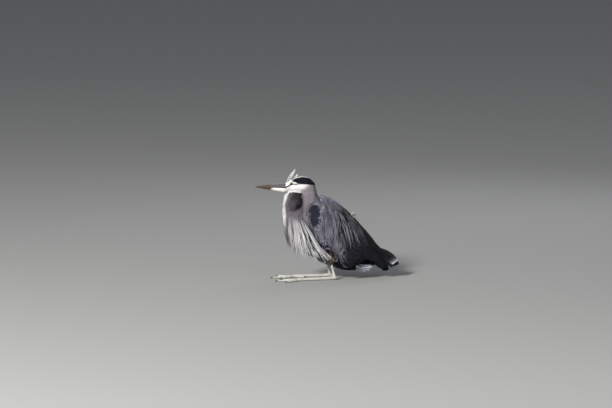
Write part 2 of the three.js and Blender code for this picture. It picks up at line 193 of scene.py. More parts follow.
def makeFeatherMaterial(name, barbs=60, slant=1.4, barbShade=0.22, shaft=0.25, edge=0.0, roughness=0.75):
    # barbs run out and forward from a dark shaft, over a soft mottle, and may end in a pale rim
    finish = featherFinish
    material, shader = newMaterial(name, roughness, finish["specular"], finish["sheen"])
    tree = material.node_tree
    split = addNode(tree, "ShaderNodeSeparateXYZ")
    tree.links.new(addNode(tree, "ShaderNodeUVMap", {"uv_map": "Vane"}).outputs[0], split.inputs[0])
    across = mathNode(tree, "ABSOLUTE", mathNode(tree, "SUBTRACT", split.outputs[0], 0.5))
    run = mathNode(tree, "SUBTRACT", split.outputs[1], mathNode(tree, "MULTIPLY", across, slant / 3))
    waver = mathNode(tree, "MULTIPLY", noiseNode(tree, finish["waverScale"], 3.0), finish["waver"])
    turned = mathNode(tree, "MULTIPLY", mathNode(tree, "ADD", run, waver), barbs * finish["fullTurn"])
    lines = scaledNode(tree, mathNode(tree, "SINE", turned), 0.5, 0.5)
    clear = mathNode(tree, "SUBTRACT", 1.0, mathNode(tree, "MULTIPLY", lines, barbShade))
    broad = noiseNode(tree, finish["mottleScale"], 4.0, 0.6)
    mottle = scaledNode(tree, broad, finish["mottleRange"], finish["mottleLow"])
    colour = shadedTint(tree, mathNode(tree, "MULTIPLY", clear, mottle))
    rib = mathNode(tree, "MULTIPLY", mathNode(tree, "LESS_THAN", across, finish["shaftHalf"]), shaft)
    colour = mixColour(tree, "MIX", rib, colour, finish["shaftColour"])
    if edge:
        outer = mathNode(tree, "SUBTRACT", across, finish["rimFrom"])
        rim = mathNode(tree, "MULTIPLY", mathNode(tree, "MULTIPLY", outer, finish["rimRise"], True), edge)
        colour = mixColour(tree, "MIX", rim, colour, linear(screenTones["covertPale"]))
    return finishSurface(material, shader, colour, lines, finish["bump"], finish["bumpDepth"])


skinFinish = {"roughness": 0.85, "specular": 0.2, "downScale": 160.0, "downLow": 0.35, "downRange": 0.7,
              "bump": 0.6, "bumpDepth": 0.001}


def makeSkinMaterial():
    finish = skinFinish
    material, shader = newMaterial("plumageBase", finish["roughness"], finish["specular"])
    tree = material.node_tree
    down = noiseNode(tree, finish["downScale"], 4.0)
    colour = shadedTint(tree, scaledNode(tree, down, finish["downRange"], finish["downLow"]))
    return finishSurface(material, shader, colour, down, finish["bump"], finish["bumpDepth"])


# one skin lies under all the plumage
skinForm = {
    "voxel": 0.0036,
    "smoothRounds": 14,
    "smoothing": 0.5,
    "flesh": ["head", "neck_upper", "neck_fold", "neck_base", "trunk", "belly", "thigh_left", "thigh_right"],
    "backAndWings": ["mantle", "tail"] + [
        f"wing_{side}_{part}" for side in wingSides
        for part in ("shoulder", "scapulars", "coverts", "secondaries", "primaries")],
    "coatDepth": {"head": 0.0016, "neck_upper": 0.003, "neck_fold": 0.003, "tail": 0.002},
    "bodyDepth": 0.0045,
    "looseBy": 0.006,
    "unwrapAngle": 72,
    "unwrapMargin": 0.004,
}


def deselectAll():
    bpy.ops.object.select_all(action="DESELECT")


def joinedCopy(name, nodeNames):
    deselectAll()
    for nodeName in nodeNames:
        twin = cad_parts[nodeName].copy()
        twin.data = twin.data.copy()
        twin.parent = None
        for key in list(twin.keys()):
            del twin[key]
        bpy.context.scene.collection.objects.link(twin)
        twin.select_set(True)
        bpy.context.view_layer.objects.active = twin
    bpy.ops.object.join()
    made = bpy.context.view_layer.objects.active
    made.name = name
    made.data.name = name
    made.data.materials.clear()
    return made


def applyModifier(piece, kind, **settings):
    modifier = piece.modifiers.new(kind.title(), kind)
    for key, value in settings.items():
        setattr(modifier, key, value)
    bpy.context.view_layer.objects.active = piece
    bpy.ops.object.modifier_apply(modifier=modifier.name)


def remeshed(name, nodeNames, form):
    piece = joinedCopy(name, nodeNames)
    bpy.ops.object.mode_set(mode="EDIT")
    bpy.ops.mesh.select_all(action="SELECT")
    bpy.ops.mesh.remove_doubles(threshold=1e-6)
    bpy.ops.object.mode_set(mode="OBJECT")
    applyModifier(piece, "REMESH", mode="VOXEL", voxel_size=form["voxel"], use_smooth_shade=True)
    applyModifier(piece, "SMOOTH", factor=form["smoothing"], iterations=form["smoothRounds"])
    return piece


def readPoints(mesh, what):
    values = np.empty(len(mesh.vertices) * 3)
    mesh.vertices.foreach_get(what, values)
    return values.reshape(-1, 3)


def makeNodeFinder(nodeNames):
    # tells which CAD node's surface is nearest to a spot
    points, faces, owner = [], [], []
    for k, nodeName in enumerate(nodeNames):
        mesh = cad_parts[nodeName].data
        start = len(points)
        points += [v.co.copy() for v in mesh.vertices]
        for face in mesh.polygons:
            faces.append([start + i for i in face.vertices])
            owner.append(k)
    tree = BVHTree.FromPolygons(points, faces)

    def find(spots):
        return np.array([owner[tree.find_nearest(Vector(spot))[2]] for spot in spots])

    return find


skinNodes = skinForm["flesh"] + skinForm["backAndWings"]
nodeIndex = {name: k for k, name in enumerate(skinNodes)}
skin = remeshed("skin", skinNodes, skinForm)
guidePoints = readPoints(skin.data, "co")
guideNormals = readPoints(skin.data, "normal")
guideFaces = [list(face.vertices) for face in skin.data.polygons]
guideTree = BVHTree.FromPolygons([Vector(point) for point in guidePoints], guideFaces)
findNode = makeNodeFinder(skinNodes)
print("skin:", len(guidePoints), "points")

deselectAll()
skin.select_set(True)
bpy.context.view_layer.objects.active = skin
bpy.ops.object.mode_set(mode="EDIT")
bpy.ops.mesh.select_all(action="SELECT")
bpy.ops.uv.smart_project(angle_limit=math.radians(skinForm["unwrapAngle"]),
                         island_margin=skinForm["unwrapMargin"])
bpy.ops.object.mode_set(mode="OBJECT")
skin.data.uv_layers[0].name = "OFBake"
skinUv = np.empty(len(skin.data.loops) * 2)
skin.data.uv_layers["OFBake"].data.foreach_get("uv", skinUv)
skinUv = skinUv.reshape(-1, 2)
faceUv = np.array([skinUv[list(face.loop_indices)].mean(0) for face in skin.data.polygons])


def readTriangles(what):
    values = np.empty(len(skin.data.loop_triangles) * 3, int)
    skin.data.loop_triangles.foreach_get(what, values)
    return values.reshape(-1, 3)


# the skin's triangles, from which feathers sprout
skin.data.calc_loop_triangles()
triVerts, triLoops = readTriangles("vertices"), readTriangles("loops")
triCorners = guidePoints[triVerts]
triCross = np.cross(triCorners[:, 1] - triCorners[:, 0], triCorners[:, 2] - triCorners[:, 0])
triArea = np.linalg.norm(triCross, axis=1) / 2
triNormal = triCross / np.maximum(2 * triArea[:, None], 1e-12)
triMiddle = triCorners.mean(1)
triNode = findNode(triMiddle)
print("guide:", len(triVerts), "triangles")


def trianglesOf(nodeNames, keep=None):
    chosen = np.isin(triNode, [nodeIndex[name] for name in nodeNames])
    if keep is not None:
        chosen &= keep(triMiddle, triNormal)
    return np.flatnonzero(chosen)


# darts thrown for each place, and the least gap between roots as a share of their spacing
sprouting = {"thrown": 5.0, "closest": 0.82}


def betweenCorners(corners, a, b):
    return corners[:, 0] + a * (corners[:, 1] - corners[:, 0]) + b * (corners[:, 2] - corners[:, 0])


def sproutPoints(triangles, spacing):
    # evenly scattered roots: darts are thrown, and one too near an earlier one is dropped
    area = triArea[triangles]
    count = int(sprouting["thrown"] * area.sum() / spacing**2)
    pick = triangles[dice.choice(len(triangles), count, p=area / area.sum())]
    a, b = dice.random(count), dice.random(count)
    flip = a + b > 1
    a[flip], b[flip] = 1 - a[flip], 1 - b[flip]
    spots = betweenCorners(guidePoints[triVerts[pick]], a[:, None], b[:, None])
    uv = betweenCorners(skinUv[triLoops[pick]], a[:, None], b[:, None])
    keys = np.floor(spots / spacing).astype(int)
    near = [(i, j, k) for i in (-1, 0, 1) for j in (-1, 0, 1) for k in (-1, 0, 1)]
    gap = spacing * sprouting["closest"]
    taken, kept = {}, []
    for n in range(count):
        x, y, z = keys[n]
        p = spots[n]
        rivals = (q for i, j, k in near for q in taken.get((x + i, y + j, z + k), ()))
        if all((p[0] - q[0]) ** 2 + (p[1] - q[1]) ** 2 + (p[2] - q[2]) ** 2 >= gap * gap for q in rivals):
            taken.setdefault((x, y, z), []).append(p)
            kept.append(n)
    return spots[kept], triNormal[pick[kept]], uv[kept]


def unit(v):
    return v / np.maximum(np.linalg.norm(v, axis=-1, keepdims=True), 1e-9)


def nearestOnGuide(spots):
    place, normal = np.empty_like(spots), np.empty_like(spots)
    for n, spot in enumerate(spots):
        place[n], normal[n] = guideTree.find_nearest(Vector(spot))[:2]
    return place, normal


def bakeSpots(roots):
    # where each root lies on the skin's own unwrap
    return np.array([faceUv[guideTree.find_nearest(Vector(root))[2]] for root in roots])


walk = {"sharpTurn": 0.35, "farStep": 1.2, "keepWay": 0.55, "newWay": 0.45}


def acrossUp(way, up):
    return unit(way - up * (way * up).sum(1, keepdims=True))


def layAlong(roots, normals, flow, lengths, steps, cling=1.0):
    # walks each feather's shaft over the surface, which it leaves where the surface turns sharply away
    here, up = roots.copy(), unit(normals)
    way = acrossUp(flow(here), up)
    spots, ups, ways = [roots], [up], [way]
    stride = lengths / steps
    for _ in range(steps):
        ahead = here + way * stride[:, None]
        place, normal = nearestOnGuide(ahead)
        normal = unit(normal)
        gap = np.linalg.norm(place - ahead, axis=1)
        off = ((normal * up).sum(1) < walk["sharpTurn"]) | (gap > walk["farStep"] * lengths / steps)
        loose = place + (ahead - place) * np.minimum(1, skinForm["looseBy"] / np.maximum(gap, 1e-9))[:, None]
        place = ahead + (place - ahead) * cling
        here = np.where(off[:, None], loose, place)
        up = unit(np.where(off[:, None], up, up * (1 - cling) + normal * cling))
        way = acrossUp(unit(walk["keepWay"] * way + walk["newWay"] * unit(flow(here))), up)
        spots.append(here.copy())
        ups.append(up.copy())
        ways.append(way.copy())
    return np.stack(spots, 1), np.stack(ups, 1), np.stack(ways, 1)


vaneShapes = {
    "contour": [(0, 0.35), (0.2, 0.85), (0.5, 1.0), (0.78, 0.92), (0.92, 0.6), (1, 0.1)],
    "soft": [(0, 0.3), (0.3, 0.9), (0.6, 1.0), (0.85, 0.6), (1, 0.05)],
    "tuft": [(0, 0.5), (0.35, 1.0), (0.7, 0.7), (1, 0.04)],
    "lance": [(0, 0.35), (0.15, 0.8), (0.35, 1.0), (0.6, 0.72), (0.8, 0.4), (1, 0.03)],
    "quill": [(0, 0.3), (0.1, 0.8), (0.3, 1.0), (0.8, 1.0), (0.9, 0.9), (1, 0.5)],
    "tailQuill": [(0, 0.35), (0.15, 0.7), (0.5, 0.9), (0.85, 1.0), (0.95, 0.9), (1, 0.6)],
}


tuftPatch = 0.003  # the size of a feather's patch on the unwrap
shownShare = 0.6  # a feather's colour is read where it shows, past its covered root
unevenWidth = 0.15


def writeUv(mesh, name, uv):
    layer = mesh.uv_layers.new(name=name)
    layer.data.foreach_set("uv", uv.reshape(-1).astype(np.float32))


def writeTint(mesh, colour):
    layer = mesh.color_attributes.new("tint", "FLOAT_COLOR", "POINT")
    colour = np.concatenate([colour, np.ones((len(colour), 1))], 1)
    layer.data.foreach_set("color", colour.reshape(-1).astype(np.float32))


def bladePoints(look, shafts, widths, layers):
    # rows of points along each shaft, cupped across and lifted off the skin
    spots, ups, ways = shafts
    count, rows = spots.shape[:2]
    share = np.linspace(0, 1, rows)
    half = onLine(share, vaneShapes[look["shape"]])
    rootRise, tipRise = look["rise"]
    lift = rootRise + (tipRise - rootRise) * share
    liftJitter = 1 + look.get("riseJitter", 0.35) * dice.standard_normal(count)
    lifted = lift[None, :] * liftJitter[:, None]
    if layers is not None:
        lifted = lifted + layers[:, None] * np.minimum(1, 3 * share)[None, :]
    side = unit(np.cross(ups, ways))
    ragged = 1 + look.get("ragged", 0.08) * dice.standard_normal((count, rows, 1))
    u = np.linspace(-1, 1, look["columns"])
    reach = (widths[:, None] * half[None, :] * ragged[:, :, 0])[:, :, None, None]
    out = side[:, :, None, :] * (reach * u[None, None, :, None])
    raised = lifted[:, :, None, None] - look["cup"] * reach * (u**2)[None, None, :, None]
    return spots[:, :, None, :] + out + ups[:, :, None, :] * raised


def makeVanes(name, look, shafts, uv, widths, tints, material, layers=None):
    # one mesh of all a coat's feathers, each a thin curved blade along its shaft
    points = bladePoints(look, shafts, widths, layers)
    count, rows, columns = points.shape[:3]
    total = rows * columns
    grid = np.arange(total).reshape(rows, columns)
    quads = np.stack([grid[:-1, :-1], grid[1:, :-1], grid[1:, 1:], grid[:-1, 1:]], -1).reshape(-1, 4)
    faces = (quads[None] + (np.arange(count) * total)[:, None, None]).reshape(-1, 4)
    mesh = bpy.data.meshes.new(name)
    mesh.vertices.add(count * total)
    mesh.vertices.foreach_set("co", points.reshape(-1).astype(np.float32))
    mesh.loops.add(faces.size)
    mesh.loops.foreach_set("vertex_index", faces.reshape(-1).astype(np.int32))
    mesh.polygons.add(len(faces))
    mesh.polygons.foreach_set("loop_start", np.arange(0, faces.size, 4, dtype=np.int32))
    mesh.update(calc_edges=True)
    vaneOf, inVane = np.divmod(faces.reshape(-1), total)
    vaneUv = np.stack([(inVane % columns) / (columns - 1), (inVane // columns) / (rows - 1)], 1)
    writeUv(mesh, "Vane", vaneUv)
    writeUv(mesh, "OFBake", np.clip(uv[vaneOf] + tuftPatch * (vaneUv - 0.5), 0, 1))
    fade = (np.linspace(0, 1, rows) ** look.get("fade", 1.0))[None, :, None]
    rootTint, tipTint = tints
    colour = rootTint[:, None, :] * (1 - fade) + tipTint[:, None, :] * fade
    writeTint(mesh, np.repeat(colour[:, :, None, :], columns, 2).reshape(-1, 3))
    mesh.polygons.foreach_set("use_smooth", np.ones(len(faces), bool))
    mesh.materials.append(material)
    piece = bpy.data.objects.new(name, mesh)
    bpy.context.scene.collection.objects.link(piece)
    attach(piece, "root")
    print(f"{name}: {count} feathers, {2 * len(faces)} triangles")
    return piece


def growCoat(name, look, nodeNames, flow, tone, material, keep=None):
    roots, normals, uv = sproutPoints(trianglesOf(nodeNames, keep), look["spacing"])
    count = len(roots)
    low, high = look["length"]
    lengths = low + (high - low) * dice.random(count)
    widths = look["width"] * (1 + unevenWidth * dice.standard_normal(count))
    wander = look["sway"] * dice.standard_normal((count, 3))

    def swayed(spots):
        return unit(flow(spots)) + wander

    shafts = layAlong(roots, normals, swayed, lengths, look["steps"])
    colours = tone(roots + shownShare * (shafts[0][:, -1] - roots))
    brightness = 1 + look["mottle"] * dice.standard_normal((count, 1))
    tints = [np.clip(colour * brightness, 0, 1) for colour in colours]
    return makeVanes(name, look, shafts, uv, widths, tints, material)


def axisX(x):
    return bird["ankleX"] + x  # lengths along the bird are told from its ankles


# the side view's turn towards the front, its lean, and how far it looks down
sight = {"turned": 0.2127, "leaning": 0.0255, "raised": 0.12}


def sideView(spots):
    # where a spot stands when the bird is seen from its side, a little from ahead and above: along, and up
    x, y, z = spots.T
    along = x - bird["ankleX"] + sight["turned"] * np.abs(y)
    up = z + sight["leaning"] * (x - bird["ankleX"]) - sight["raised"] * np.abs(y)
    return along, up


def onLine(value, line):
    # reads a line of (place, height) stations at each place
    places, heights = zip(*line)
    return np.interp(value, places, heights)


def insideOf(along, up, outline, soft):
    # 1 well inside a closed outline, 0 well outside, and a soft edge between
    corners = np.array(outline)
    inside = np.zeros(len(along), bool)
    nearest = np.full(len(along), 1e9)
    for (ax, ay), (bx, by) in zip(corners, np.roll(corners, -1, axis=0)):
        crosses = (ay > up) != (by > up)
        inside ^= crosses & (along < (bx - ax) * (up - ay) / (by - ay + 1e-12) + ax)
        length = (bx - ax) ** 2 + (by - ay) ** 2
        share = np.clip(((along - ax) * (bx - ax) + (up - ay) * (by - ay)) / length, 0, 1)
        nearest = np.minimum(nearest, np.hypot(along - ax - share * (bx - ax), up - ay - share * (by - ay)))
    signed = np.where(inside, nearest, -nearest)
    return smoothStep(-soft, soft, signed)


def roundSpot(along, up, spot):
    # 1 in the middle of a soft spot, told as (place, height, half length, half height)
    midAlong, midUp, halfLong, halfHigh = spot
    return np.exp(-(((along - midAlong) / halfLong) ** 2 + ((up - midUp) / halfHigh) ** 2))


def heading(ahead, out, up):
    return np.stack(np.broadcast_arrays(ahead, out, up), 1)


# the way the feathers lie on each part of the body
def headFlow(spots):
    back = smoothStep(axisX(-0.14), axisX(-0.09), spots[:, 0])
    return heading(1 - 0.7 * back, 0.0, -0.12 - 1.0 * back)


def neckFlow(spots):
    high = smoothStep(0.36, 0.44, spots[:, 2])
    return heading(0.12 + 0.75 * high, 0.0, -1.0 + 0.5 * high)


def foldFlow(spots):
    top = smoothStep(0.35, 0.40, spots[:, 2])
    low = smoothStep(0.30, 0.22, spots[:, 2])
    return heading(0.05 - 0.5 * top + 0.12 * low, 0.25 * np.sign(spots[:, 1]) * top, -1.0 + 0.3 * top)


def breastFlow(spots):
    back = smoothStep(axisX(-0.17), axisX(-0.05), spots[:, 0])
    return heading(0.10 + 0.62 * back, 0.05 * np.sign(spots[:, 1]), -1.0 + 0.12 * back)


def bellyFlow(spots):
    back = smoothStep(axisX(-0.10), axisX(0.05), spots[:, 0])
    return heading(0.5 + 0.5 * back, 0.0, -0.8 + 0.65 * back)


def thighFlow(spots):
    return np.tile((0.34, 0.0, -0.94), (len(spots), 1))


def wingFlow(spots):
    # feathers hang steeply by the shoulder and lie back towards the wing's tip
    angle = np.radians(8 + 34 * smoothStep(axisX(-0.06), axisX(0.2), spots[:, 0]))
    return heading(np.sin(angle), 0.0, -np.cos(angle))


def mantleFlow(spots):
    return heading(0.72, 5.0 * spots[:, 1], -0.70)


def tailFlow(spots):
    return heading(0.90, 1.5 * spots[:, 1], -0.42)


# the plumage's markings, and where shade is painted on the neck's fold, as places along the bird and heights
# in its side view
markingsAndShade = {
    "bandBelow": [(-0.205, 0.450), (-0.190, 0.4475), (-0.1745, 0.4435), (-0.160, 0.4355), (-0.093, 0.4325)],
    "bandStart": (-0.200, -0.176),
    "crownHalf": (0.0050, 0.0080),
    "grizzled": (-0.212, -0.168),
    "lore": [(-0.232, 0.4180), (-0.2225, 0.4215), (-0.205, 0.4290), (-0.190, 0.4350)],
    "loreHalf": 0.0036,
    "loreEnd": -0.186,
    "behindEye": [(-0.190, 0.4390), (-0.166, 0.4385), (-0.160, 0.4330), (-0.178, 0.4300), (-0.192, 0.4345)],
    "cheekEnd": [(0.395, -0.150), (0.410, -0.136), (0.425, -0.124), (0.432, -0.118)],
    "cheekFlush": (-0.143, 0.405, 0.010, 0.007),
    "shoulder": [(-0.1152, 0.311), (-0.1110, 0.330), (-0.1002, 0.340), (-0.0800, 0.348), (-0.0610, 0.338),
                 (-0.0630, 0.300), (-0.0670, 0.272), (-0.0760, 0.242), (-0.0830, 0.232), (-0.0950, 0.246),
                 (-0.1070, 0.266), (-0.1140, 0.288)],
    "foldFront": [(0.255, -0.236), (0.298, -0.2342), (0.3212, -0.2366), (0.3402, -0.2394), (0.3592, -0.2342),
                  (0.3782, -0.2248), (0.3944, -0.2126)],
    # the fold's crease, along which shade is painted
    "foldCrease": [(0.3080, -0.1850), (0.3166, -0.1700), (0.3245, -0.1600), (0.3305, -0.1530),
                   (0.338, -0.1475), (0.349, -0.1430), (0.3685, -0.1450), (0.392, -0.148)],
    # a spot of painted shade inside the neck's bend
    "foldShadeSpot": (-0.163, 0.332, 0.011, 0.012),
    "rearEdge": [(0.05, 0.170), (0.11, 0.150), (0.17, 0.118), (0.23, 0.092), (0.29, 0.075), (0.34, 0.066)],
    "thighRust": [(-0.014, 0.074), (-0.016, 0.130), (0.004, 0.150), (0.014, 0.130), (0.014, 0.074)],
}


# the colours of each part of the coat, as each feather's root and tip
def jitterTones(a, b, spots, amount=1.0):
    return blendTones(a, b, dice.random(len(spots)) * amount)


def bandOver(along, up, y, speckle):
    # the black band over the eye leaves the crown's middle white, and its front end breaks up
    below = onLine(along, markingsAndShade["bandBelow"])
    band = smoothStep(below - 0.0015, below + 0.0015, up) * smoothStep(*markingsAndShade["crownHalf"], np.abs(y))
    return below, band * (speckle < smoothStep(*markingsAndShade["bandStart"], along))


def headTone(roots):
    along, up = sideView(roots)
    y = roots[:, 1]
    speckle = dice.random(len(y))
    below, band = bandOver(along, up, y, speckle)
    rear = smoothStep(-0.014, 0.014, along - onLine(up, markingsAndShade["cheekEnd"]))
    nape = smoothStep(-0.122, -0.090, along)
    cheek = blendTones(tones["white"], tones["cheekGrey"], rear)
    cheek = blendTones(cheek, tones["napeGrey"], 0.8 * nape)
    cheek = blendTones(cheek, tones["flush"], 0.5 * roundSpot(along, up, markingsAndShade["cheekFlush"]))
    first, last = markingsAndShade["grizzled"]
    grizzled = (up > below - 0.001) & (along < last) & (along > first)
    grizzled &= (speckle > 0.55) & (np.abs(y) > 0.008)
    cheek = blendTones(cheek, tones["crownGrey"], 0.9 * grizzled)
    cheek = blendTones(cheek, tones["mauve"], 0.85 * insideOf(along, up, markingsAndShade["behindEye"], 0.002))
    fromLore = np.abs(up - onLine(along, markingsAndShade["lore"]))
    half = markingsAndShade["loreHalf"]
    lore = smoothStep(half + 0.001, half - 0.001, fromLore) * (along < markingsAndShade["loreEnd"])
    cheek = blendTones(cheek, tones["plumeDark"], 0.95 * lore * (np.abs(y) > 0.004))
    black = blendTones(tones["crownBlack"], tones["crownGrey"], dice.random(len(y)) < 0.09)
    colour = cheek * (1 - band[:, None]) + black * band[:, None]
    return colour, blendTones(colour, tones["white"], 0.10 * (1 - np.maximum(band, lore)))


def neckTone(roots):
    along, up = sideView(roots)
    top = smoothStep(0.350, 0.395, up)
    nape = smoothStep(-0.098, -0.074, along)
    base = jitterTones(tones["mauve"], tones["mauvePale"], roots)
    base = blendTones(base, tones["cheekGrey"], 0.75 * smoothStep(-0.15, -0.13, along))
    base = blendTones(base, tones["cheekGrey"], 0.9 * top)
    base = blendTones(base, tones["napeGrey"], 0.8 * nape)
    return base * 0.85, base


def foldTone(roots):
    # white along the fold's front, with painted shade in its crease, under the chin and inside the bend, and
    # pale low down
    along, up = sideView(roots)
    fromFront = along - onLine(up, markingsAndShade["foldFront"])
    narrow = 0.5 + 0.5 * smoothStep(0.392, 0.368, up)
    front = 0.85 * smoothStep(0.019, 0.006, fromFront / narrow)
    # the fold turns paler towards its front, partly its own colour and partly painted light falling on the
    # front
    pale = smoothStep(0.040, 0.018, fromFront)
    low = smoothStep(0.322, 0.302, up)
    beyond = along - onLine(up, markingsAndShade["foldCrease"])
    # painted shade in the crease between the fold and the upper neck
    creaseShade = smoothStep(-0.036, -0.006, beyond) * smoothStep(0.306, 0.322, up)
    # painted shade: a near black spot inside the neck's bend
    spot = roundSpot(along, up, markingsAndShade["foldShadeSpot"])
    # painted shadow of the head along the fold's top, under the chin
    top = smoothStep(0.355, 0.372, up) * smoothStep(0.022, 0.040, fromFront)
    base = jitterTones(tones["mauve"], tones["mauveDark"], roots, 0.5)
    base = blendTones(base, tones["mauvePale"], np.maximum(0.75 * low, 0.5 * pale))
    base = blendTones(base, tones["mauveDark"], np.maximum(0.9 * creaseShade, 0.7 * top))
    base = blendTones(base, tones["crownBlack"], np.clip(0.9 * spot + 0.25 * creaseShade, 0, 0.9))
    # past the crease line the upper neck is pale, clear of the painted shade
    base = blendTones(base, tones["mauvePale"], smoothStep(0.000, 0.005, beyond))
    streak = (dice.random(len(along)) < 0.10 * front * (up < 0.36))[:, None]
    base = blendTones(base, tones["white"], front)
    base = np.where(streak, tones["plumeGrey"], base)
    return base * 0.85, base


def breastTone(roots):
    along, up = sideView(roots)
    pick = dice.random(len(along))
    base = blendTones(tones["mauve"], tones["plumeGrey"], pick < 0.4)
    base = blendTones(base, tones["plumeDark"], pick > 0.80)
    high = smoothStep(0.262, 0.290, up)
    base = blendTones(base, blendTones(tones["mauvePale"], tones["mauve"], pick), high)
    front = smoothStep(0.020, 0.008, along - onLine(up, markingsAndShade["foldFront"]))
    base = blendTones(base, tones["white"], 0.8 * front)
    base = blendTones(base, tones["shoulderBlack"], insideOf(along, up, markingsAndShade["shoulder"], 0.003))
    return base * 0.8, base


def bellyTone(roots):
    x, y, z = roots.T
    ahead = smoothStep(axisX(-0.02), axisX(-0.07), x)
    ventral = smoothStep(0.034 + 0.030 * ahead, 0.018 + 0.024 * ahead, np.abs(y)) * (x < axisX(0.02))
    ventral *= dice.random(len(x)) > 0.25
    # the vent's white down; behind it the whitish undertail is painted dark as shade
    vent = smoothStep(axisX(0.095), axisX(0.112), x) * smoothStep(axisX(0.172), axisX(0.160), x)
    # painted shade: the vent's white turns dark towards the top, under the wings' hems
    vent *= smoothStep(0.070, 0.058, z)
    base = blendTones(tones["flankBlack"], tones["bellyWhite"], np.maximum(ventral, vent))
    return base * 0.8, base


def thighTone(roots):
    along, up = sideView(roots)
    pick = dice.random(len(along))
    rust = insideOf(along, up, markingsAndShade["thighRust"], 0.005)
    rusty = blendTones(tones["rufous"], tones["rufousPale"], pick)
    base = blendTones(tones["flankBlack"], rusty, rust)
    low = smoothStep(0.090, 0.070, up)
    base = blendTones(base, tones["rufousPale"], 0.6 * low)
    return base * 0.8, base


def inShoulderPatch(along, up):
    ragged = 0.004 * dice.standard_normal(len(along))
    return insideOf(along + ragged, up + ragged, markingsAndShade["shoulder"], 0.003)


def wingTone(roots):
    # pale grey by the shoulder, dark slate behind, near black at the wing's tip and rear edge
    along, up = sideView(roots)
    pick = dice.random(len(along))
    pale = blendTones(tones["covertGrey"], tones["covertPale"], pick * 0.8)
    dark = blendTones(tones["scapularDark"], tones["slate"], pick)
    behind = smoothStep(-0.006, 0.034, along + 0.25 * (up - 0.30))
    low = smoothStep(0.170, 0.110, up)
    base = blendTones(pale, dark, np.clip(behind + 0.45 * low * (along > -0.01), 0, 1))
    rear = smoothStep(-0.03, 0.03, along - onLine(up, markingsAndShade["rearEdge"]))
    dusk = np.maximum(0.85 * rear, 0.75 * smoothStep(0.110, 0.045, up) * (along > 0.02))
    base = blendTones(base, tones["primaryDark"], dusk)
    return base, along, up


def shoulderTone(roots):
    along, up = sideView(roots)
    pick = dice.random(len(along))
    above = blendTones(tones["mauvePale"], tones["mantlePale"], smoothStep(-0.105, -0.075, along))
    above = blendTones(above, tones["covertGrey"], 0.5 * pick)
    base = blendTones(above, tones["shoulderBlack"], inShoulderPatch(along, up))
    return base * 0.8, base


def covertTone(roots):
    base, along, up = wingTone(roots)
    base = blendTones(base, tones["shoulderBlack"], inShoulderPatch(along, up))
    return base * 0.72, base


def mantleTone(roots):
    along = sideView(roots)[0]
    base = jitterTones(tones["mantleGrey"], tones["mantlePale"], roots)
    dark = smoothStep(-0.010, 0.060, along)
    base = blendTones(base, tones["scapularDark"], 0.9 * dark)
    base = blendTones(base, tones["slate"], 0.9 * smoothStep(0.08, 0.16, along))
    return base * 0.75, base


def slateTone(roots):
    base = wingTone(roots)[0]
    return base * 0.78, base


# the coats, each with its own feather
shortPlume = makeFeatherMaterial("shortPlumage", barbs=9, barbShade=0.12, shaft=0.0, roughness=0.8)
bodyPlume = makeFeatherMaterial("bodyPlumage", barbs=22, barbShade=0.2, shaft=0.15, roughness=0.78)
covertPlume = makeFeatherMaterial("covertPlumage", barbs=34, barbShade=0.2, shaft=0.35, edge=0.35,
                                  roughness=0.72)
quillPlume = makeFeatherMaterial("quillPlumage", barbs=150, barbShade=0.18, shaft=0.5, edge=0.08,
                                 roughness=0.6)
longPlume = makeFeatherMaterial("longPlumage", barbs=40, slant=0.8, barbShade=0.25, shaft=0.1, roughness=0.75)

eye = {"ball": 0.0078, "pupil": 0.44, "iris": 0.66, "lidTall": 0.0027, "lidWide": 0.0072, "lidThick": 0.0014,
       "lidAhead": 0.60, "lookForward": -0.18, "lookDown": -0.10, "sink": 0.0006, "lower": 0.0040,
       "opening": (0.0, 0.0, 0.0080, 0.0040), "bareSkin": (-0.006, -0.0088, 0.0065, 0.0026),
       "featheredTo": 0.006, "fleckScale": 900.0, "fleck": 0.06}


def boxMiddle(nodeName):
    low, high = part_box(nodeName)
    return (np.array(low) + np.array(high)) / 2


eyeCentre = boxMiddle("eye_left")


def withinOval(spots, lower, oval):
    # inside an oval of (ahead, up, half length, half height) about the eye, on either side of the head
    ahead, up, halfLong, halfHigh = oval
    along, height = spots[:, 0] - eyeCentre[0], spots[:, 2] - eyeCentre[2] + lower
    within = np.hypot((along - ahead) / halfLong, (height - up) / halfHigh) < 1
    return within & (np.abs(spots[:, 1]) > eye["featheredTo"])


def bareSkin(spots):
    return withinOval(spots, 0.0, eye["bareSkin"])


def clearOfEye(middle, normal):
    # the lids' opening, and the bare skin before the eye, stay free of feathers
    return ~(withinOval(middle, eye["lower"], eye["opening"]) | bareSkin(middle))


def wingNodes(*parts):
    return [f"wing_{side}_{part}" for side in wingSides for part in parts]


def outerFace(middle, normal):
    return (normal[:, 1] * np.sign(middle[:, 1]) > 0.05) | (normal[:, 2] > 0.25)


faceLook = {"shape": "tuft", "spacing": 0.0014, "length": (0.0055, 0.0080), "width": 0.0008, "steps": 3,
            "columns": 2, "rise": (-0.0012, 0.0008), "sway": 0.12, "mottle": 0.06, "cup": 0.0}
growCoat("faceFeathers", faceLook, ["head"], headFlow, headTone, shortPlume, clearOfEye)

neckLook = {"shape": "soft", "spacing": 0.0029, "length": (0.011, 0.017), "width": 0.0016, "steps": 4,
            "columns": 3, "rise": (-0.0025, 0.0010), "sway": 0.14, "mottle": 0.10, "cup": 0.2}
growCoat("neckFeathers", neckLook, ["neck_upper"], neckFlow, neckTone, shortPlume)
growCoat("foldFeathers", neckLook, ["neck_fold"], foldFlow, foldTone, shortPlume)

breastLook = {"shape": "lance", "spacing": 0.0056, "length": (0.03, 0.055), "width": 0.0026, "steps": 6,
              "columns": 3, "rise": (-0.003, 0.003), "sway": 0.12, "mottle": 0.1, "cup": 0.2}
growCoat("breastFeathers", breastLook, ["neck_base"], breastFlow, breastTone, longPlume)

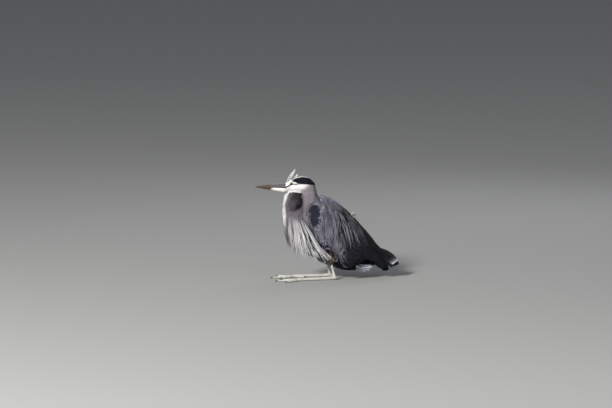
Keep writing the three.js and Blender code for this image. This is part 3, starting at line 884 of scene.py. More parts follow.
bellyLook = {"shape": "soft", "spacing": 0.0062, "length": (0.025, 0.038), "width": 0.0048, "steps": 5,
             "columns": 3, "rise": (-0.004, 0.001), "sway": 0.14, "mottle": 0.08, "cup": 0.25}
growCoat("bellyFeathers", bellyLook, ["belly", "trunk"], bellyFlow, bellyTone, bodyPlume)

thighLook = {"shape": "soft", "spacing": 0.0042, "length": (0.014, 0.022), "width": 0.0024, "steps": 4,
             "columns": 3, "rise": (-0.003, 0.001), "sway": 0.12, "mottle": 0.12, "cup": 0.25}
growCoat("thighFeathers", thighLook, ["thigh_left", "thigh_right"], thighFlow, thighTone, shortPlume)

shoulderLook = {"shape": "contour", "spacing": 0.0055, "length": (0.018, 0.026), "width": 0.0046, "steps": 4,
                "columns": 3, "rise": (-0.004, 0.0008), "sway": 0.1, "mottle": 0.1, "cup": 0.3}
growCoat("shoulderFeathers", shoulderLook, wingNodes("shoulder"), wingFlow, shoulderTone, bodyPlume)

covertLook = {"shape": "contour", "spacing": 0.0078, "length": (0.030, 0.046), "width": 0.0058, "steps": 5,
              "columns": 5, "rise": (-0.004, 0.001), "sway": 0.07, "mottle": 0.14, "cup": 0.3, "ragged": 0.03}
growCoat("covertFeathers", covertLook, wingNodes("coverts", "scapulars"), wingFlow, covertTone, covertPlume,
         outerFace)

mantleLook = {"shape": "contour", "spacing": 0.0080, "length": (0.034, 0.050), "width": 0.0060, "steps": 5,
              "columns": 5, "rise": (-0.004, 0.0015), "sway": 0.07, "mottle": 0.12, "cup": 0.3,
              "ragged": 0.03}
growCoat("mantleFeathers", mantleLook, ["mantle"], mantleFlow, mantleTone, covertPlume,
         outerFace)

# the wings' lower edge, as places along the bird and heights
hemLine = [(0.026, 0.040), (0.066, 0.036), (0.106, 0.066), (0.146, 0.079), (0.186, 0.068), (0.218, 0.030),
           (0.242, 0.027), (0.258, 0.034)]
lowerLook = {"shape": "contour", "spacing": 0.0115, "length": (0.040, 0.055), "width": 0.0095, "steps": 5,
             "columns": 5, "rise": (-0.004, 0.001), "sway": 0.05, "mottle": 0.08, "cup": 0.25, "ragged": 0.02,
             "aboveHem": 0.052}


def aboveHem(middle, normal):
    hem = onLine(middle[:, 0] - bird["ankleX"], hemLine)
    return outerFace(middle, normal) & (middle[:, 2] > hem + lowerLook["aboveHem"])


growCoat("lowerCoverts", lowerLook, wingNodes("secondaries", "primaries"), wingFlow, slateTone, covertPlume,
         aboveHem)


def layQuills(name, look, roots, targets, widths, tints, layers):
    # flight feathers run straight over the skin, each in a layer of its own
    place, normal = nearestOnGuide(roots)
    lengths = np.linalg.norm(targets - place, axis=1)

    def towards(spots):
        return unit(targets - spots + 1e-6)

    shafts = layAlong(place, unit(normal), towards, lengths, look["steps"], look.get("cling", 1.0))
    return makeVanes(name, look, shafts, bakeSpots(roots), widths, tints, quillPlume,
                     layers)


# secondaries hang from the middle of the wing to its hem, primaries run back from it to the wing's tip
quills = {
    "secondaries": {"count": 13, "rootFrom": (-0.02, 0.205), "rootTo": (0.13, 0.170), "rootY": 0.13,
                    "tips": (0.042, 0.190), "tipY": 0.10, "halfWidth": 0.0135, "layer": 0.00018,
                    "tone": "slate", "rise": (-0.003, 0.0008)},
    "primaries": {"count": 9, "rootFrom": (0.10, 0.165), "rootTo": (0.17, 0.165), "rootY": 0.13,
                  "tips": (0.200, 0.246), "tipY": 0.10, "halfWidth": 0.0105, "layer": -0.00015,
                  "tone": "primaryDark", "rise": (-0.003, 0.0012)},
}
quillLook = {"shape": "quill", "steps": 10, "columns": 7, "riseJitter": 0.1, "cup": 0.16, "ragged": 0.02}


def wingQuills(name, look):
    order = np.arange(look["count"])
    share = np.linspace(0, 1, look["count"])[:, None]
    for side, sign in zip(wingSides, (-1, 1)):
        flat = np.array(look["rootFrom"]) * (1 - share) + np.array(look["rootTo"]) * share
        roots = heading(axisX(flat[:, 0]), sign * look["rootY"], flat[:, 1])
        tipX = np.linspace(*look["tips"], look["count"])
        tips = nearestOnGuide(heading(axisX(tipX), sign * look["tipY"], onLine(tipX, hemLine)))[0]
        tint = tones[look["tone"]] * (1 + 0.10 * dice.standard_normal((look["count"], 1)))
        widths = look["halfWidth"] * (1 + 0.05 * dice.standard_normal(look["count"]))
        layQuills(f"{name}_{side}", look, roots, tips, widths, (tint * 0.85, tint), look["layer"] * order)


for name, look in quills.items():
    wingQuills(name, {**quillLook, **look})

tail = {"count": 12, "rootX": 0.196, "rootZ": 0.16, "rootSpread": 0.020, "tipX": 0.309, "tipZ": 0.080,
        "tipSpread": 0.047, "rounding": 0.030, "droop": 0.012, "layer": 0.0035, "halfWidth": 0.0125,
        "shape": "tailQuill", "steps": 16, "columns": 7, "rise": (0.0, 0.0014), "riseJitter": 0.05,
        "cup": 0.12, "ragged": 0.02, "cling": 0.9, "fade": 18}
fan = np.linspace(-1, 1, tail["count"])
tailRoots = heading(axisX(tail["rootX"]), fan * tail["rootSpread"], tail["rootZ"])
tailTips = heading(axisX(tail["tipX"] - tail["rounding"] * fan**2), fan * tail["tipSpread"],
                   tail["tipZ"] - tail["droop"] * fan**2)
tailTint = np.tile(tones["tailSlate"], (len(fan), 1)) * (1 + 0.08 * dice.standard_normal((len(fan), 1)))
layQuills("tailFeathers", tail, tailRoots, nearestOnGuide(tailTips)[0], np.full(len(fan), tail["halfWidth"]),
          (tailTint, np.tile(tones["white"], (len(fan), 1))), tail["layer"] * (1 - np.abs(fan)))

tailCovertLook = {"shape": "contour", "spacing": 0.009, "length": (0.030, 0.040), "width": 0.0072, "steps": 5,
                  "columns": 5, "rise": (-0.001, 0.0006), "sway": 0.03, "mottle": 0.1, "cup": 0.2,
                  "ragged": 0.02, "endX": 0.236}


def tailRoot(middle, normal):
    return middle[:, 0] < axisX(tailCovertLook["endX"])


growCoat("tailCoverts", tailCovertLook, ["tail"], tailFlow, slateTone, bodyPlume, tailRoot)


def arcs(roots, middles, tips, steps, sideways):
    # each long plume's shaft is a smooth bow from its root through its middle to its tip
    share = np.linspace(0, 1, steps + 1)[None, :, None]
    bend = 2 * middles - 0.5 * (roots + tips)
    a, b, c = roots[:, None], bend[:, None], tips[:, None]
    spots = a * (1 - share) ** 2 + 2 * b * share * (1 - share) + c * share**2
    ways = unit(np.gradient(spots, axis=1))
    ups = unit(np.cross(ways, sideways[:, None, :]))
    return spots, ups, ways


# breast plumes are told by their angle round the breast, in degrees from its front
breast = {"count": 2500, "around": 114, "centreX": -0.148, "centreZ": 0.215, "lean": 0.35, "radiusX": 0.062,
          "radiusY": 0.061, "rootLow": 0.198, "rootReach": (0.070, 0.035), "rootSpread": 1.2,
          "angle": [0, 14, 29, 45, 61, 77, 93, 108, 120],
          "tipHeight": [0.186, 0.196, 0.174, 0.142, 0.118, 0.124, 0.098, 0.082, 0.090],
          "tipBack": [0.012, 0.010, 0.012, 0.016, 0.022, 0.032, 0.060, 0.108, 0.116],
          "tipOut": [0.02, 0.02, 0.04, 0.06, 0.06, 0.06, 0.20, 0.34, 0.38],
          "shortest": 0.045, "uneven": 0.006, "strays": 0.035, "strayDrop": 0.018, "strayOut": 0.07,
          "halfWidth": 0.0011, "shape": "lance", "steps": 9, "columns": 3, "rise": (-0.001, 0.001),
          "cup": 0.25, "ragged": 0.10, "fade": 0.6}
count = breast["count"]
angle = np.radians(breast["around"]) * (2 * dice.random(count) - 1)
degrees = np.degrees(np.abs(angle))
upperReach = breast["rootReach"][0] + breast["rootReach"][1] * smoothStep(30, 55, degrees)
rootHeight = breast["rootLow"] + upperReach * dice.random(count) ** breast["rootSpread"]
rootHeight = rootHeight - 0.02 * (degrees > 85)
short = dice.random(count) ** 1.6
tipHeight = np.interp(degrees, breast["angle"], breast["tipHeight"])
tipHeight = tipHeight + (rootHeight - breast["shortest"] - tipHeight) * short * 0.8
tipHeight = tipHeight + breast["uneven"] * dice.standard_normal(count)
tipBack = np.interp(degrees, breast["angle"], breast["tipBack"]) * (1 - 0.6 * short)
tipOut = np.interp(degrees, breast["angle"], breast["tipOut"]) * (1 - 0.5 * short)
stray = dice.random(count) < breast["strays"]
tipHeight -= breast["strayDrop"] * stray
tipOut += breast["strayOut"] * stray


def onBreast(height, out):
    centre = axisX(breast["centreX"]) - (height - breast["centreZ"]) * breast["lean"]
    x = centre - breast["radiusX"] * np.cos(angle) * out
    return heading(x, breast["radiusY"] * np.sin(angle) * out, height)


plumeRoots = onBreast(rootHeight, 0.98)
plumeTips = onBreast(rootHeight, 1.0)
plumeTips[:, 0] += tipBack
plumeTips[:, 1] *= 1 + tipOut
plumeTips[:, 2] = tipHeight
plumeMiddles = 0.5 * (plumeRoots + plumeTips)
plumeMiddles += heading(-np.cos(angle), np.sin(angle), 0.0) * (0.002 + 0.004 * dice.random(count))[:, None]
acrossBreast = heading(-np.sin(angle), -np.cos(angle), 0.0)
plumeShafts = arcs(plumeRoots, plumeMiddles, plumeTips, breast["steps"], acrossBreast)


def breastColours(degrees, rootHeight):
    # white and grey plumes in clumps, more white ones to the side, and dark ones on the flank
    pick = dice.random(len(degrees))[:, None]
    flank, farFlank = (degrees > 78)[:, None], (degrees > 94)[:, None]
    clump = 0.5 + 0.5 * np.sin(degrees * 1.35 + 1.5 * np.sin(degrees * 0.31))[:, None]
    toSide = smoothStep(38, 64, degrees)[:, None]
    tint = np.where(pick < 0.08 + 0.32 * clump + 0.34 * toSide, tones["plumeWhite"], tones["plumeGrey"])
    dark = (pick > 0.70 + 0.20 * clump + 0.14 * toSide) & ~flank
    tint = np.where(dark, tones["mauveDark"], tint) * (0.80 + 0.16 * toSide)
    tint = np.where(((pick > 0.70) & flank) | ((pick > 0.52) & farFlank), tones["flankBlack"], tint)
    higher = rootHeight - 0.020 * toSide[:, 0]
    return blendTones(tint * 0.8, tones["mauvePale"], smoothStep(0.235, 0.285, higher)), tint


plumeTints = breastColours(degrees, rootHeight)
plumeWidths = breast["halfWidth"] * (0.7 + 0.8 * dice.random(count))
makeVanes("breastPlumes", breast, plumeShafts, bakeSpots(plumeRoots), plumeWidths, plumeTints, longPlume)

# the raised crest over the forehead, in fine white lances
crest = {
    "crestFrontPlumes": {"node": "crest_front", "count": 380, "from": (-0.232, -0.196),
                         "tipFrom": (-0.1745, 0.5115), "tipTo": (-0.190, 0.470), "halfY": 0.0085,
                         "short": 0.36, "bow": -0.0062, "forward": 1.6, "dark": 0.72},
    "crestRearPlumes": {"node": "crest_rear", "count": 130, "from": (-0.188, -0.174),
                        "tipFrom": (-0.1640, 0.4890), "tipTo": (-0.166, 0.480), "halfY": 0.0075,
                        "short": 0.28, "bow": -0.0025, "forward": 1.0, "dark": 1.0},
}
crestLook = {"shape": "lance", "halfWidth": 0.0021, "steps": 6, "columns": 3, "rise": (0.0, 0.0), "cup": 0.4,
             "ragged": 0.06, "crownZ": 0.485, "sunk": 0.002}
for name, tuft in crest.items():
    count = tuft["count"]
    share = dice.random(count) ** tuft["forward"]
    low, high = tuft["from"]
    rootY = tuft["halfY"] * (2 * dice.random(count) - 1)
    roots = nearestOnGuide(heading(axisX(low + (high - low) * share), rootY, crestLook["crownZ"]))[0]
    roots[:, 2] -= crestLook["sunk"]
    start, end = np.array(tuft["tipFrom"]), np.array(tuft["tipTo"])
    ends = start + (end - start) * share[:, None]
    tips = heading(axisX(ends[:, 0]), 0.10 * roots[:, 1] + 0.0006 * dice.standard_normal(count), ends[:, 1])
    reach = (1 - tuft["short"] * dice.random(count) ** 1.5)[:, None]
    tips = roots + (tips - roots) * reach
    middles = 0.5 * (roots + tips)
    middles[:, 0] += tuft["bow"]
    middles[:, 1] += 0.25 * roots[:, 1]
    flat = 0.6 * dice.standard_normal(count)
    shafts = arcs(roots, middles, tips, crestLook["steps"], heading(np.cos(flat), np.sin(flat), 0.0))
    tint = np.tile(tones["white"], (count, 1)) * (1 + 0.05 * dice.standard_normal((count, 1)))
    shaded = (share > tuft["dark"]) & (dice.random(count) < 0.6)
    tint = np.where(shaded[:, None], tones["crownGrey"], np.clip(tint, 0, 1))
    tints = (blendTones(tones["plumeGrey"], tint, np.full(count, 0.85)), tint)
    widths = crestLook["halfWidth"] * (0.7 + 0.6 * dice.random(count))
    piece = makeVanes(name, crestLook, shafts, bakeSpots(roots), widths, tints, longPlume)
    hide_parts(tuft["node"])

# long loose plumes hang from the shoulders over the wings
scapular = {"count": 1100, "startX": -0.052, "rearLimit": [(0.20, 0.135), (0.32, 0.093)],
            "lowest": 0.215, "besideMiddle": 0.012, "length": (0.045, 0.095), "sway": 0.07,
            "halfWidth": 0.0014, "shape": "lance", "steps": 9, "columns": 3, "rise": (0.0005, 0.0042),
            "riseJitter": 0.4, "cup": 0.3, "ragged": 0.1, "cling": 0.95}


def beforeRearEdge(middle, normal):
    along, up = sideView(middle)
    inside = (along > scapular["startX"]) & (along < onLine(up, scapular["rearLimit"]))
    inside &= up > scapular["lowest"]
    return inside & outerFace(middle, normal) & (np.abs(middle[:, 1]) > scapular["besideMiddle"])


def scapularTint(along, shade):
    # pale by the shoulder, and dark with a few pale plumes behind
    far = smoothStep(-0.01, 0.03, along)
    rearFade = 1 - 0.6 * smoothStep(0.085, 0.125, along)
    paleShare = (shade > 0.68) * (0.35 + 0.6 * shade) * rearFade
    farTint = blendTones(tones["scapularDark"], tones["filament"], paleShare)
    nearTint = blendTones(tones["covertGrey"] * 0.6, tones["mantlePale"], shade)
    nearTint = blendTones(nearTint, tones["filament"], shade > 0.76)
    return blendTones(farTint, nearTint, 1 - far)


triangles = trianglesOf(["mantle"] + wingNodes("scapulars", "coverts"), beforeRearEdge)
area = triArea[triangles]
count = scapular["count"]
pick = triangles[dice.choice(len(triangles), count, p=area / area.sum())]
low, high = scapular["length"]
lengths = low + (high - low) * dice.random(count)
wander = scapular["sway"] * dice.standard_normal((count, 3))


def scapularFlow(spots):
    angle = np.radians(4 + 14 * smoothStep(axisX(-0.02), axisX(0.14), spots[:, 0]))
    return heading(np.sin(angle), 0.35 * np.sign(spots[:, 1]), -np.cos(angle)) + wander


shafts = layAlong(triMiddle[pick], triNormal[pick], scapularFlow, lengths, scapular["steps"],
                  scapular["cling"])
tint = scapularTint(sideView(triMiddle[pick])[0], dice.random(count))
widths = scapular["halfWidth"] * (0.7 + 0.6 * dice.random(count))
makeVanes("scapularPlumes", scapular, shafts, skinUv[triLoops[pick]].mean(1), widths, (tint * 0.7, tint),
          longPlume)

# downy tufts: one on the back, the vent's white down below the wings' hems, and small pale ones
fluffLook = {"shape": "soft", "steps": 5, "columns": 3, "rise": (0, 0), "cup": 0.3, "bow": 0.12}


def growFluff(name, centre, tuft, mirrored=True, onSkin=False):
    allRoots, allTips = [], []
    for sign in ((-1, 1) if mirrored else (1,)):
        roots = np.array(centre) + np.array(tuft["spread"]) * (2 * dice.random((tuft["count"], 3)) - 1)
        if onSkin:
            roots = nearestOnGuide(roots)[0]
        stray = np.array(tuft["loose"]) * dice.standard_normal((tuft["count"], 3))
        allRoots.append(roots * [1, sign, 1])
        allTips.append((roots + np.array(tuft["shift"]) + stray) * [1, sign, 1])
    roots, tips = np.concatenate(allRoots), np.concatenate(allTips)
    bow = fluffLook["bow"] * np.linalg.norm(tips - roots, axis=1)[:, None]
    middles = 0.5 * (roots + tips) + bow * unit(dice.standard_normal(roots.shape))
    shafts = arcs(roots, middles, tips, fluffLook["steps"], unit(dice.standard_normal(roots.shape)))
    tint = np.tile(tones[tuft["tone"]], (len(roots), 1)) * (1 + 0.06 * dice.standard_normal((len(roots), 1)))
    tint = np.clip(tint, 0, 1)
    widths = np.full(len(roots), tuft["halfWidth"])
    return makeVanes(name, fluffLook, shafts, bakeSpots(roots), widths, (tint * 0.85, tint), longPlume)


backTuft = {"ahead": 0.004, "raised": 0.012, "spread": (0.006, 0.006, 0.004), "shift": (0.008, 0, 0.016),
            "loose": (0.0045, 0.0045, 0.0035), "count": 300, "halfWidth": 0.0016, "tone": "dullWhite"}
tuftX = boxMiddle("tuft_back")[0] - backTuft["ahead"]
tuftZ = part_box("tuft_back")[0].z + backTuft["raised"]
piece = growFluff("backTuft", (tuftX, 0, tuftZ), backTuft, mirrored=False)
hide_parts("tuft_back")

ventFluff = {"spread": (0.028, 0.018, 0.012), "shift": (0.020, 0.004, -0.010),
             "loose": (0.006, 0.003, 0.004), "count": 460, "halfWidth": 0.0021, "tone": "ventPale"}
growFluff("ventFluff", (axisX(0.125), 0.052, 0.052), ventFluff, onSkin=True)

# small tufts at the jaw's rear corner, the wrist and the wing's lower edge, on both sides
smallTufts = {
    "jawTuft": {"at": (-0.150, 0.379), "spread": (0.0030, 0.0015, 0.0030), "shift": (0.010, 0.003, -0.006),
                "count": 12, "tone": "filament"},
    "wristTuft": {"at": (-0.043, 0.333), "spread": (0.006, 0.0015, 0.006), "shift": (0.004, 0.006, -0.010),
                  "count": 30, "tone": "flush"},
    "wristDown": {"at": (-0.046, 0.330), "spread": (0.008, 0.0015, 0.008), "shift": (0.004, 0.005, -0.012),
                  "count": 20, "tone": "dullWhite"},
    "edgeTuft": {"at": (-0.010, 0.168), "spread": (0.006, 0.0015, 0.006), "shift": (0.005, 0.003, -0.014),
                 "count": 26, "tone": "covertPale"},
}
guideAlong, guideUp = sideView(guidePoints)
facingOut = (guideNormals[:, 1] < -0.2) & (guidePoints[:, 1] < 0)
for name, tuft in smallTufts.items():
    away = np.hypot(guideAlong - tuft["at"][0], guideUp - tuft["at"][1]) + ~facingOut
    spot = guidePoints[away.argmin()] * [1, -1, 1]
    growFluff(name, spot, {"loose": (0.0018, 0.0010, 0.0018), "halfWidth": 0.0014, **tuft})

# the bill is drawn out ring by ring from a flattened oval
billTones = {"dusk": (0.27, 0.27, 0.28), "duskPale": (0.56, 0.56, 0.58), "horn": (0.35, 0.28, 0.23),
             "hornTip": (0.52, 0.46, 0.42), "paleBase": (1.0, 0.985, 0.955), "olive": (0.30, 0.25, 0.20),
             "gapeDark": (0.15, 0.15, 0.15)}
bill = {"rings": 13, "sides": 20, "rootX": -0.221, "rootZ": 0.424, "length": 0.146, "rise": 0.0085,
        "gape": 0.0002, "hidden": -0.07, "drawn": 1.066, "bunching": 0.9, "thinnest": 0.05,
        "widthTaper": (0.62, 0.33), "flatness": 0.03}
billHalves = {
    "upper": {"sign": 1, "depth": 0.0212, "width": 0.0122, "straight": 0.62, "curved": 0.33},
    "lower": {"sign": -1, "depth": 0.0198, "width": 0.0108, "straight": 0.80, "curved": 0.15},
}
# tones from the tip to the root, and streaks as (height on the horn, half width, strength, tone); the pale
# streak at the top of the upper half is a painted highlight along the culmen
billColours = {
    "upper": {"run": [(0.0, "hornTip"), (0.07, "horn"), (0.47, "horn"), (0.58, "dusk"), (1.0, "dusk")],
              "streaks": [(1.0, 0.24, 0.9, "duskPale"), (0.45, 0.14, 0.6, "duskPale"),
                          (0.10, 0.14, 0.7, "gapeDark")]},
    "lower": {"run": [(0.0, "hornTip"), (0.08, "olive"), (0.50, "olive"), (0.60, "paleBase"),
                      (1.0, "paleBase")],
              "streaks": []},
}


def drawnTube(name, stations, sides, reshape=None, upright=False):
    # a disc is set across the first station, then extruded, moved and scaled to each next one
    deselectAll()
    first = stations[0]
    bpy.ops.mesh.primitive_circle_add(vertices=sides, radius=1, fill_type="NGON", location=first[0],
                                      rotation=(0, 0 if upright else math.pi / 2, 0))
    piece = bpy.context.active_object
    piece.name = name
    piece.data.name = name
    bpy.ops.object.transform_apply(location=True, rotation=True, scale=True)

    def sized(wide, tall):
        return (wide, tall, 1) if upright else (1, wide, tall)

    bpy.ops.object.mode_set(mode="EDIT")
    bpy.ops.mesh.select_all(action="SELECT")
    bpy.ops.transform.resize(value=sized(first[1], first[2]), center_override=first[0])
    bpy.ops.object.mode_set(mode="OBJECT")
    if reshape:
        reshape(piece, first[0])
    bpy.ops.object.mode_set(mode="EDIT")
    bpy.ops.mesh.select_all(action="SELECT")
    before = first
    for place, wide, tall in stations[1:]:
        shift = Vector(place) - Vector(before[0])
        bpy.ops.mesh.extrude_region_move(TRANSFORM_OT_translate={"value": shift})
        bpy.ops.transform.resize(value=sized(wide / before[1], tall / before[2]), center_override=place)
        before = (place, wide, tall)
    bpy.ops.mesh.select_all(action="SELECT")
    bpy.ops.mesh.normals_make_consistent(inside=False)
    bpy.ops.object.mode_set(mode="OBJECT")
    for face in piece.data.polygons:
        face.use_smooth = True
    return piece


def billTaper(share, straight, curved):
    return np.maximum(1 - straight * share - curved * share**3, bill["thinnest"])


def gapeLine(share):
    return bill["rootZ"] + bill["rise"] * share


def makeBill(half, form):
    sign = form["sign"]

    def halved(piece, centre):
        for vertex in piece.data.vertices:
            height = vertex.co.z - centre[2]
            if height * sign < 0:
                vertex.co.z = centre[2] + height * bill["flatness"]

    stations = []
    for k in range(bill["rings"]):
        share = bill["hidden"] + bill["drawn"] * (k / (bill["rings"] - 1)) ** bill["bunching"]
        place = (axisX(bill["rootX"]) - bill["length"] * share, 0, gapeLine(share) + bill["gape"] * sign)
        hidden = 0.72 + 0.28 * float(smoothStep(bill["hidden"], 0.03, share))
        wide = form["width"] * billTaper(share, *bill["widthTaper"]) * hidden
        deep = form["depth"] * billTaper(share, form["straight"], form["curved"]) * hidden
        stations.append((place, wide, deep))
    piece = drawnTube(f"bill_{half}_horn", stations, bill["sides"], halved)
    applyModifier(piece, "SUBSURF", levels=2, render_levels=2)
    places = readPoints(piece.data, "co")
    share = (axisX(bill["rootX"]) - places[:, 0]) / bill["length"]
    reach = form["depth"] * billTaper(share, form["straight"], form["curved"])
    height = piece.data.attributes.new("height", "FLOAT", "POINT")
    onHorn = np.clip(sign * (places[:, 2] - gapeLine(share)) / reach, 0, 1)
    height.data.foreach_set("value", onHorn.astype(np.float32))
    return piece


def rampNode(tree, factor, stops):
    ramp = addNode(tree, "ShaderNodeValToRGB")
    tree.links.new(factor, ramp.inputs[0])
    while len(ramp.color_ramp.elements) < len(stops):
        ramp.color_ramp.elements.new(0.5)
    for element, (place, tone) in zip(ramp.color_ramp.elements, stops):
        element.position = place
        element.color = (*linear(tone), 1)
    return ramp.outputs[0]


billGrain = {"scale": (35, 420, 420), "detail": 5.0, "shift": 0.22, "waver": 0.16, "streakFrom": 0.42,
             "streakRise": 5.0, "bump": 0.25, "bumpDepth": 0.0005}


def billMaterial(name, colours):
    # colours run along the horn, with a fine lengthwise grain
    material, shader = newMaterial(name, 0.42, 0.4, coat=0.08)
    tree = material.node_tree
    place = placeNode(tree)
    split = addNode(tree, "ShaderNodeSeparateXYZ")
    tree.links.new(place, split.inputs[0])
    fromTip = mathNode(tree, "SUBTRACT", split.outputs[0], axisX(bill["rootX"] - bill["length"]))
    reach = mathNode(tree, "DIVIDE", fromTip, bill["length"])
    grain = addNode(tree, "ShaderNodeTexNoise", None, Scale=1.0, Detail=billGrain["detail"])
    stretch = addNode(tree, "ShaderNodeMapping", None, Scale=billGrain["scale"])
    tree.links.new(place, stretch.inputs["Vector"])
    tree.links.new(stretch.outputs[0], grain.inputs["Vector"])
    uneven = mathNode(tree, "SUBTRACT", grain.outputs["Fac"], 0.5)
    shifted = mathNode(tree, "ADD", reach, mathNode(tree, "MULTIPLY", uneven, billGrain["shift"]))
    colour = rampNode(tree, shifted, [(stop, billTones[tone]) for stop, tone in colours["run"]])
    height = attributeNode(tree, "height").outputs["Fac"]
    wavering = mathNode(tree, "ADD", height, mathNode(tree, "MULTIPLY", uneven, billGrain["waver"]))
    beyond = mathNode(tree, "SUBTRACT", reach, billGrain["streakFrom"])
    inward = mathNode(tree, "MULTIPLY", beyond, billGrain["streakRise"], True)
    # streaks along the horn, among them the painted highlight on the culmen
    for level, half, strength, tone in colours["streaks"]:
        away = mathNode(tree, "ABSOLUTE", mathNode(tree, "SUBTRACT", wavering, level))
        line = mathNode(tree, "SUBTRACT", 1.0, mathNode(tree, "DIVIDE", away, half), True)
        share = mathNode(tree, "MULTIPLY", mathNode(tree, "MULTIPLY", line, inward), strength)
        colour = mixColour(tree, "MIX", share, colour, linear(billTones[tone]))
    return finishSurface(material, shader, colour, grain.outputs["Fac"], billGrain["bump"],
                         billGrain["bumpDepth"])


for half, form in billHalves.items():
    piece = makeBill(half, form)
    piece.data.materials.append(billMaterial(f"bill{half.title()}Horn", billColours[half]))
    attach(piece, "root")
    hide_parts(f"bill_{half}")
print("bill drawn")

# the chin's feathers run back over the lower half's root
chin = {"count": 260, "from": -0.232, "to": -0.208, "half": 0.0100, "deep": 0.0178, "length": 0.013,
        "drop": -0.0008, "loose": 0.0012, "halfWidth": 0.0010, "shape": "tuft", "steps": 3, "columns": 2,
        "rise": (-0.0004, 0.0010), "cup": 0.0}
chinTurn = math.pi * (dice.random(chin["count"]) - 0.5)
chinX = axisX(chin["from"] + (chin["to"] - chin["from"]) * dice.random(chin["count"]) ** 0.7)
chinZ = bill["rootZ"] - chin["deep"] * np.cos(chinTurn)
chinRoots = heading(chinX, chin["half"] * np.sin(chinTurn), chinZ)
chinTips = chinRoots + np.array([chin["length"], 0, chin["drop"]])
chinTips += chin["loose"] * dice.standard_normal((chin["count"], 3))
roundChin = heading(0.0, np.cos(chinTurn), np.sin(chinTurn))
chinShafts = arcs(chinRoots, 0.5 * (chinRoots + chinTips), chinTips, chin["steps"], roundChin)
chinTint = np.clip(tones["white"] * (1 + 0.05 * dice.standard_normal((chin["count"], 1))), 0, 1)
makeVanes("chinFeathers", chin, chinShafts, bakeSpots(chinRoots), np.full(chin["count"], chin["halfWidth"]),
          (chinTint, chinTint), shortPlume)

# the eyes: a glassy ball behind two lids
# the lids' dark tone is partly their skin and partly painted shade under the brow
eyeTones = {"pupil": (0.012, 0.012, 0.015), "iris": (0.66, 0.57, 0.24), "irisEdge": (0.30, 0.25, 0.10),
            "white": (0.10, 0.09, 0.08), "lid": (0.13, 0.13, 0.135)}


def eyeMaterial():
    # rings of colour about the way the eye looks, with flecks in the iris
    material, shader = newMaterial("eyeBall", 0.08, 0.5, coat=1.0)
    tree = material.node_tree
    gaze = attributeNode(tree, "gaze").outputs["Fac"]
    fleck = mathNode(tree, "SUBTRACT", noiseNode(tree, eye["fleckScale"], 2.0), 0.5)
    spread = mathNode(tree, "ADD", gaze, mathNode(tree, "MULTIPLY", fleck, eye["fleck"]))
    pupil, iris = eye["pupil"], eye["iris"]
    colour = rampNode(tree, spread, [
        (0.0, eyeTones["pupil"]), (pupil, eyeTones["pupil"]), (pupil + 0.02, eyeTones["iris"]),
        (iris - 0.05, eyeTones["iris"]), (iris, eyeTones["irisEdge"]), (iris + 0.03, eyeTones["white"]),
        (1.0, eyeTones["white"])])
    tree.links.new(colour, shader.inputs["Base Color"])
    return material


def makeEye(side, sign, material, lidMaterial):
    low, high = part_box(f"eye_{side}")
    centre = (low + high) / 2 - Vector((0, sign * eye["sink"], eye["lower"]))
    gazeWay = Vector((eye["lookForward"], sign, eye["lookDown"])).normalized()

    def awayFromGaze(vertex):
        cosine = (vertex.co - centre).normalized().dot(gazeWay)
        return math.acos(max(-1, min(1, cosine))) / (math.pi / 2)

    deselectAll()
    bpy.ops.mesh.primitive_uv_sphere_add(segments=40, ring_count=28, radius=eye["ball"], location=centre)
    ball = bpy.context.active_object
    ball.name = f"eyeball_{side}"
    bpy.ops.object.transform_apply(location=True, rotation=True, scale=True)
    bpy.ops.object.shade_smooth()
    gaze = ball.data.attributes.new("gaze", "FLOAT", "POINT")
    gaze.data.foreach_set("value", [awayFromGaze(vertex) for vertex in ball.data.vertices])
    ball.data.materials.append(material)
    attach(ball, "root")
    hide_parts(f"eye_{side}")
    deselectAll()
    bpy.ops.mesh.primitive_torus_add(major_segments=40, minor_segments=12, major_radius=eye["lidWide"],
                                     minor_radius=eye["lidThick"], location=centre)
    lids = bpy.context.active_object
    lids.name = f"lids_{side}"
    bpy.ops.object.mode_set(mode="EDIT")
    bpy.ops.mesh.select_all(action="SELECT")
    bpy.ops.transform.resize(value=(1, eye["lidTall"] / eye["lidWide"], 1), center_override=centre)
    bpy.ops.object.mode_set(mode="OBJECT")
    lids.rotation_euler = gazeWay.to_track_quat("Z", "Y").to_euler()
    lids.location = centre + gazeWay * eye["ball"] * eye["lidAhead"]
    bpy.ops.object.transform_apply(location=True, rotation=True, scale=True)
    bpy.ops.object.shade_smooth()
    lids.data.materials.append(lidMaterial)
    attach(lids, "root")


# the lids are painted dark, partly as shade cast by the brow over the eye
lidSkinAndShade = plainMaterial("lidSkinAndShade", linear(eyeTones["lid"]), 0.5, 0.4)
ballMaterial = eyeMaterial()
for side, sign in zip(wingSides, (-1, 1)):
    makeEye(side, sign, ballMaterial, lidSkinAndShade)
print("eyes set")

# legs, feet and claws are drawn out ring by ring, with the plates of their skin as small steps
leg = {"ankleX": -0.002, "ankleY": 0.048, "splay": 0.010, "tarsus": 0.172, "tarsusDrawn": 0.188, "sides": 16,
       "toeSides": 12, "plate": 0.0042, "step": 0.035, "clawLength": 0.0135, "floorAt": 0.0012,
       "pressed": 0.15}
toes = {"middle": (0.098, 2), "inner": (0.074, 30), "outer": (0.078, -34), "hind": (0.050, 168)}
toeForm = {"parts": 12, "thick": 0.0062, "thinning": 0.0026, "knuckle": 0.13, "knuckles": 3, "flatter": 0.94,
           "overlap": 0.004, "beyond": 0.005, "rootZ": 0.0056, "drop": 0.0014}
clawForm = {"shares": (0, 0.15, 0.3, 0.45, 0.6, 0.75, 0.88, 0.97), "overlap": 0.003, "reach": 1.22,
            "rootZ": 0.0046, "rise": 0.0016, "hook": 0.0046, "half": (0.0022, 0.0029), "tip": 0.00015}
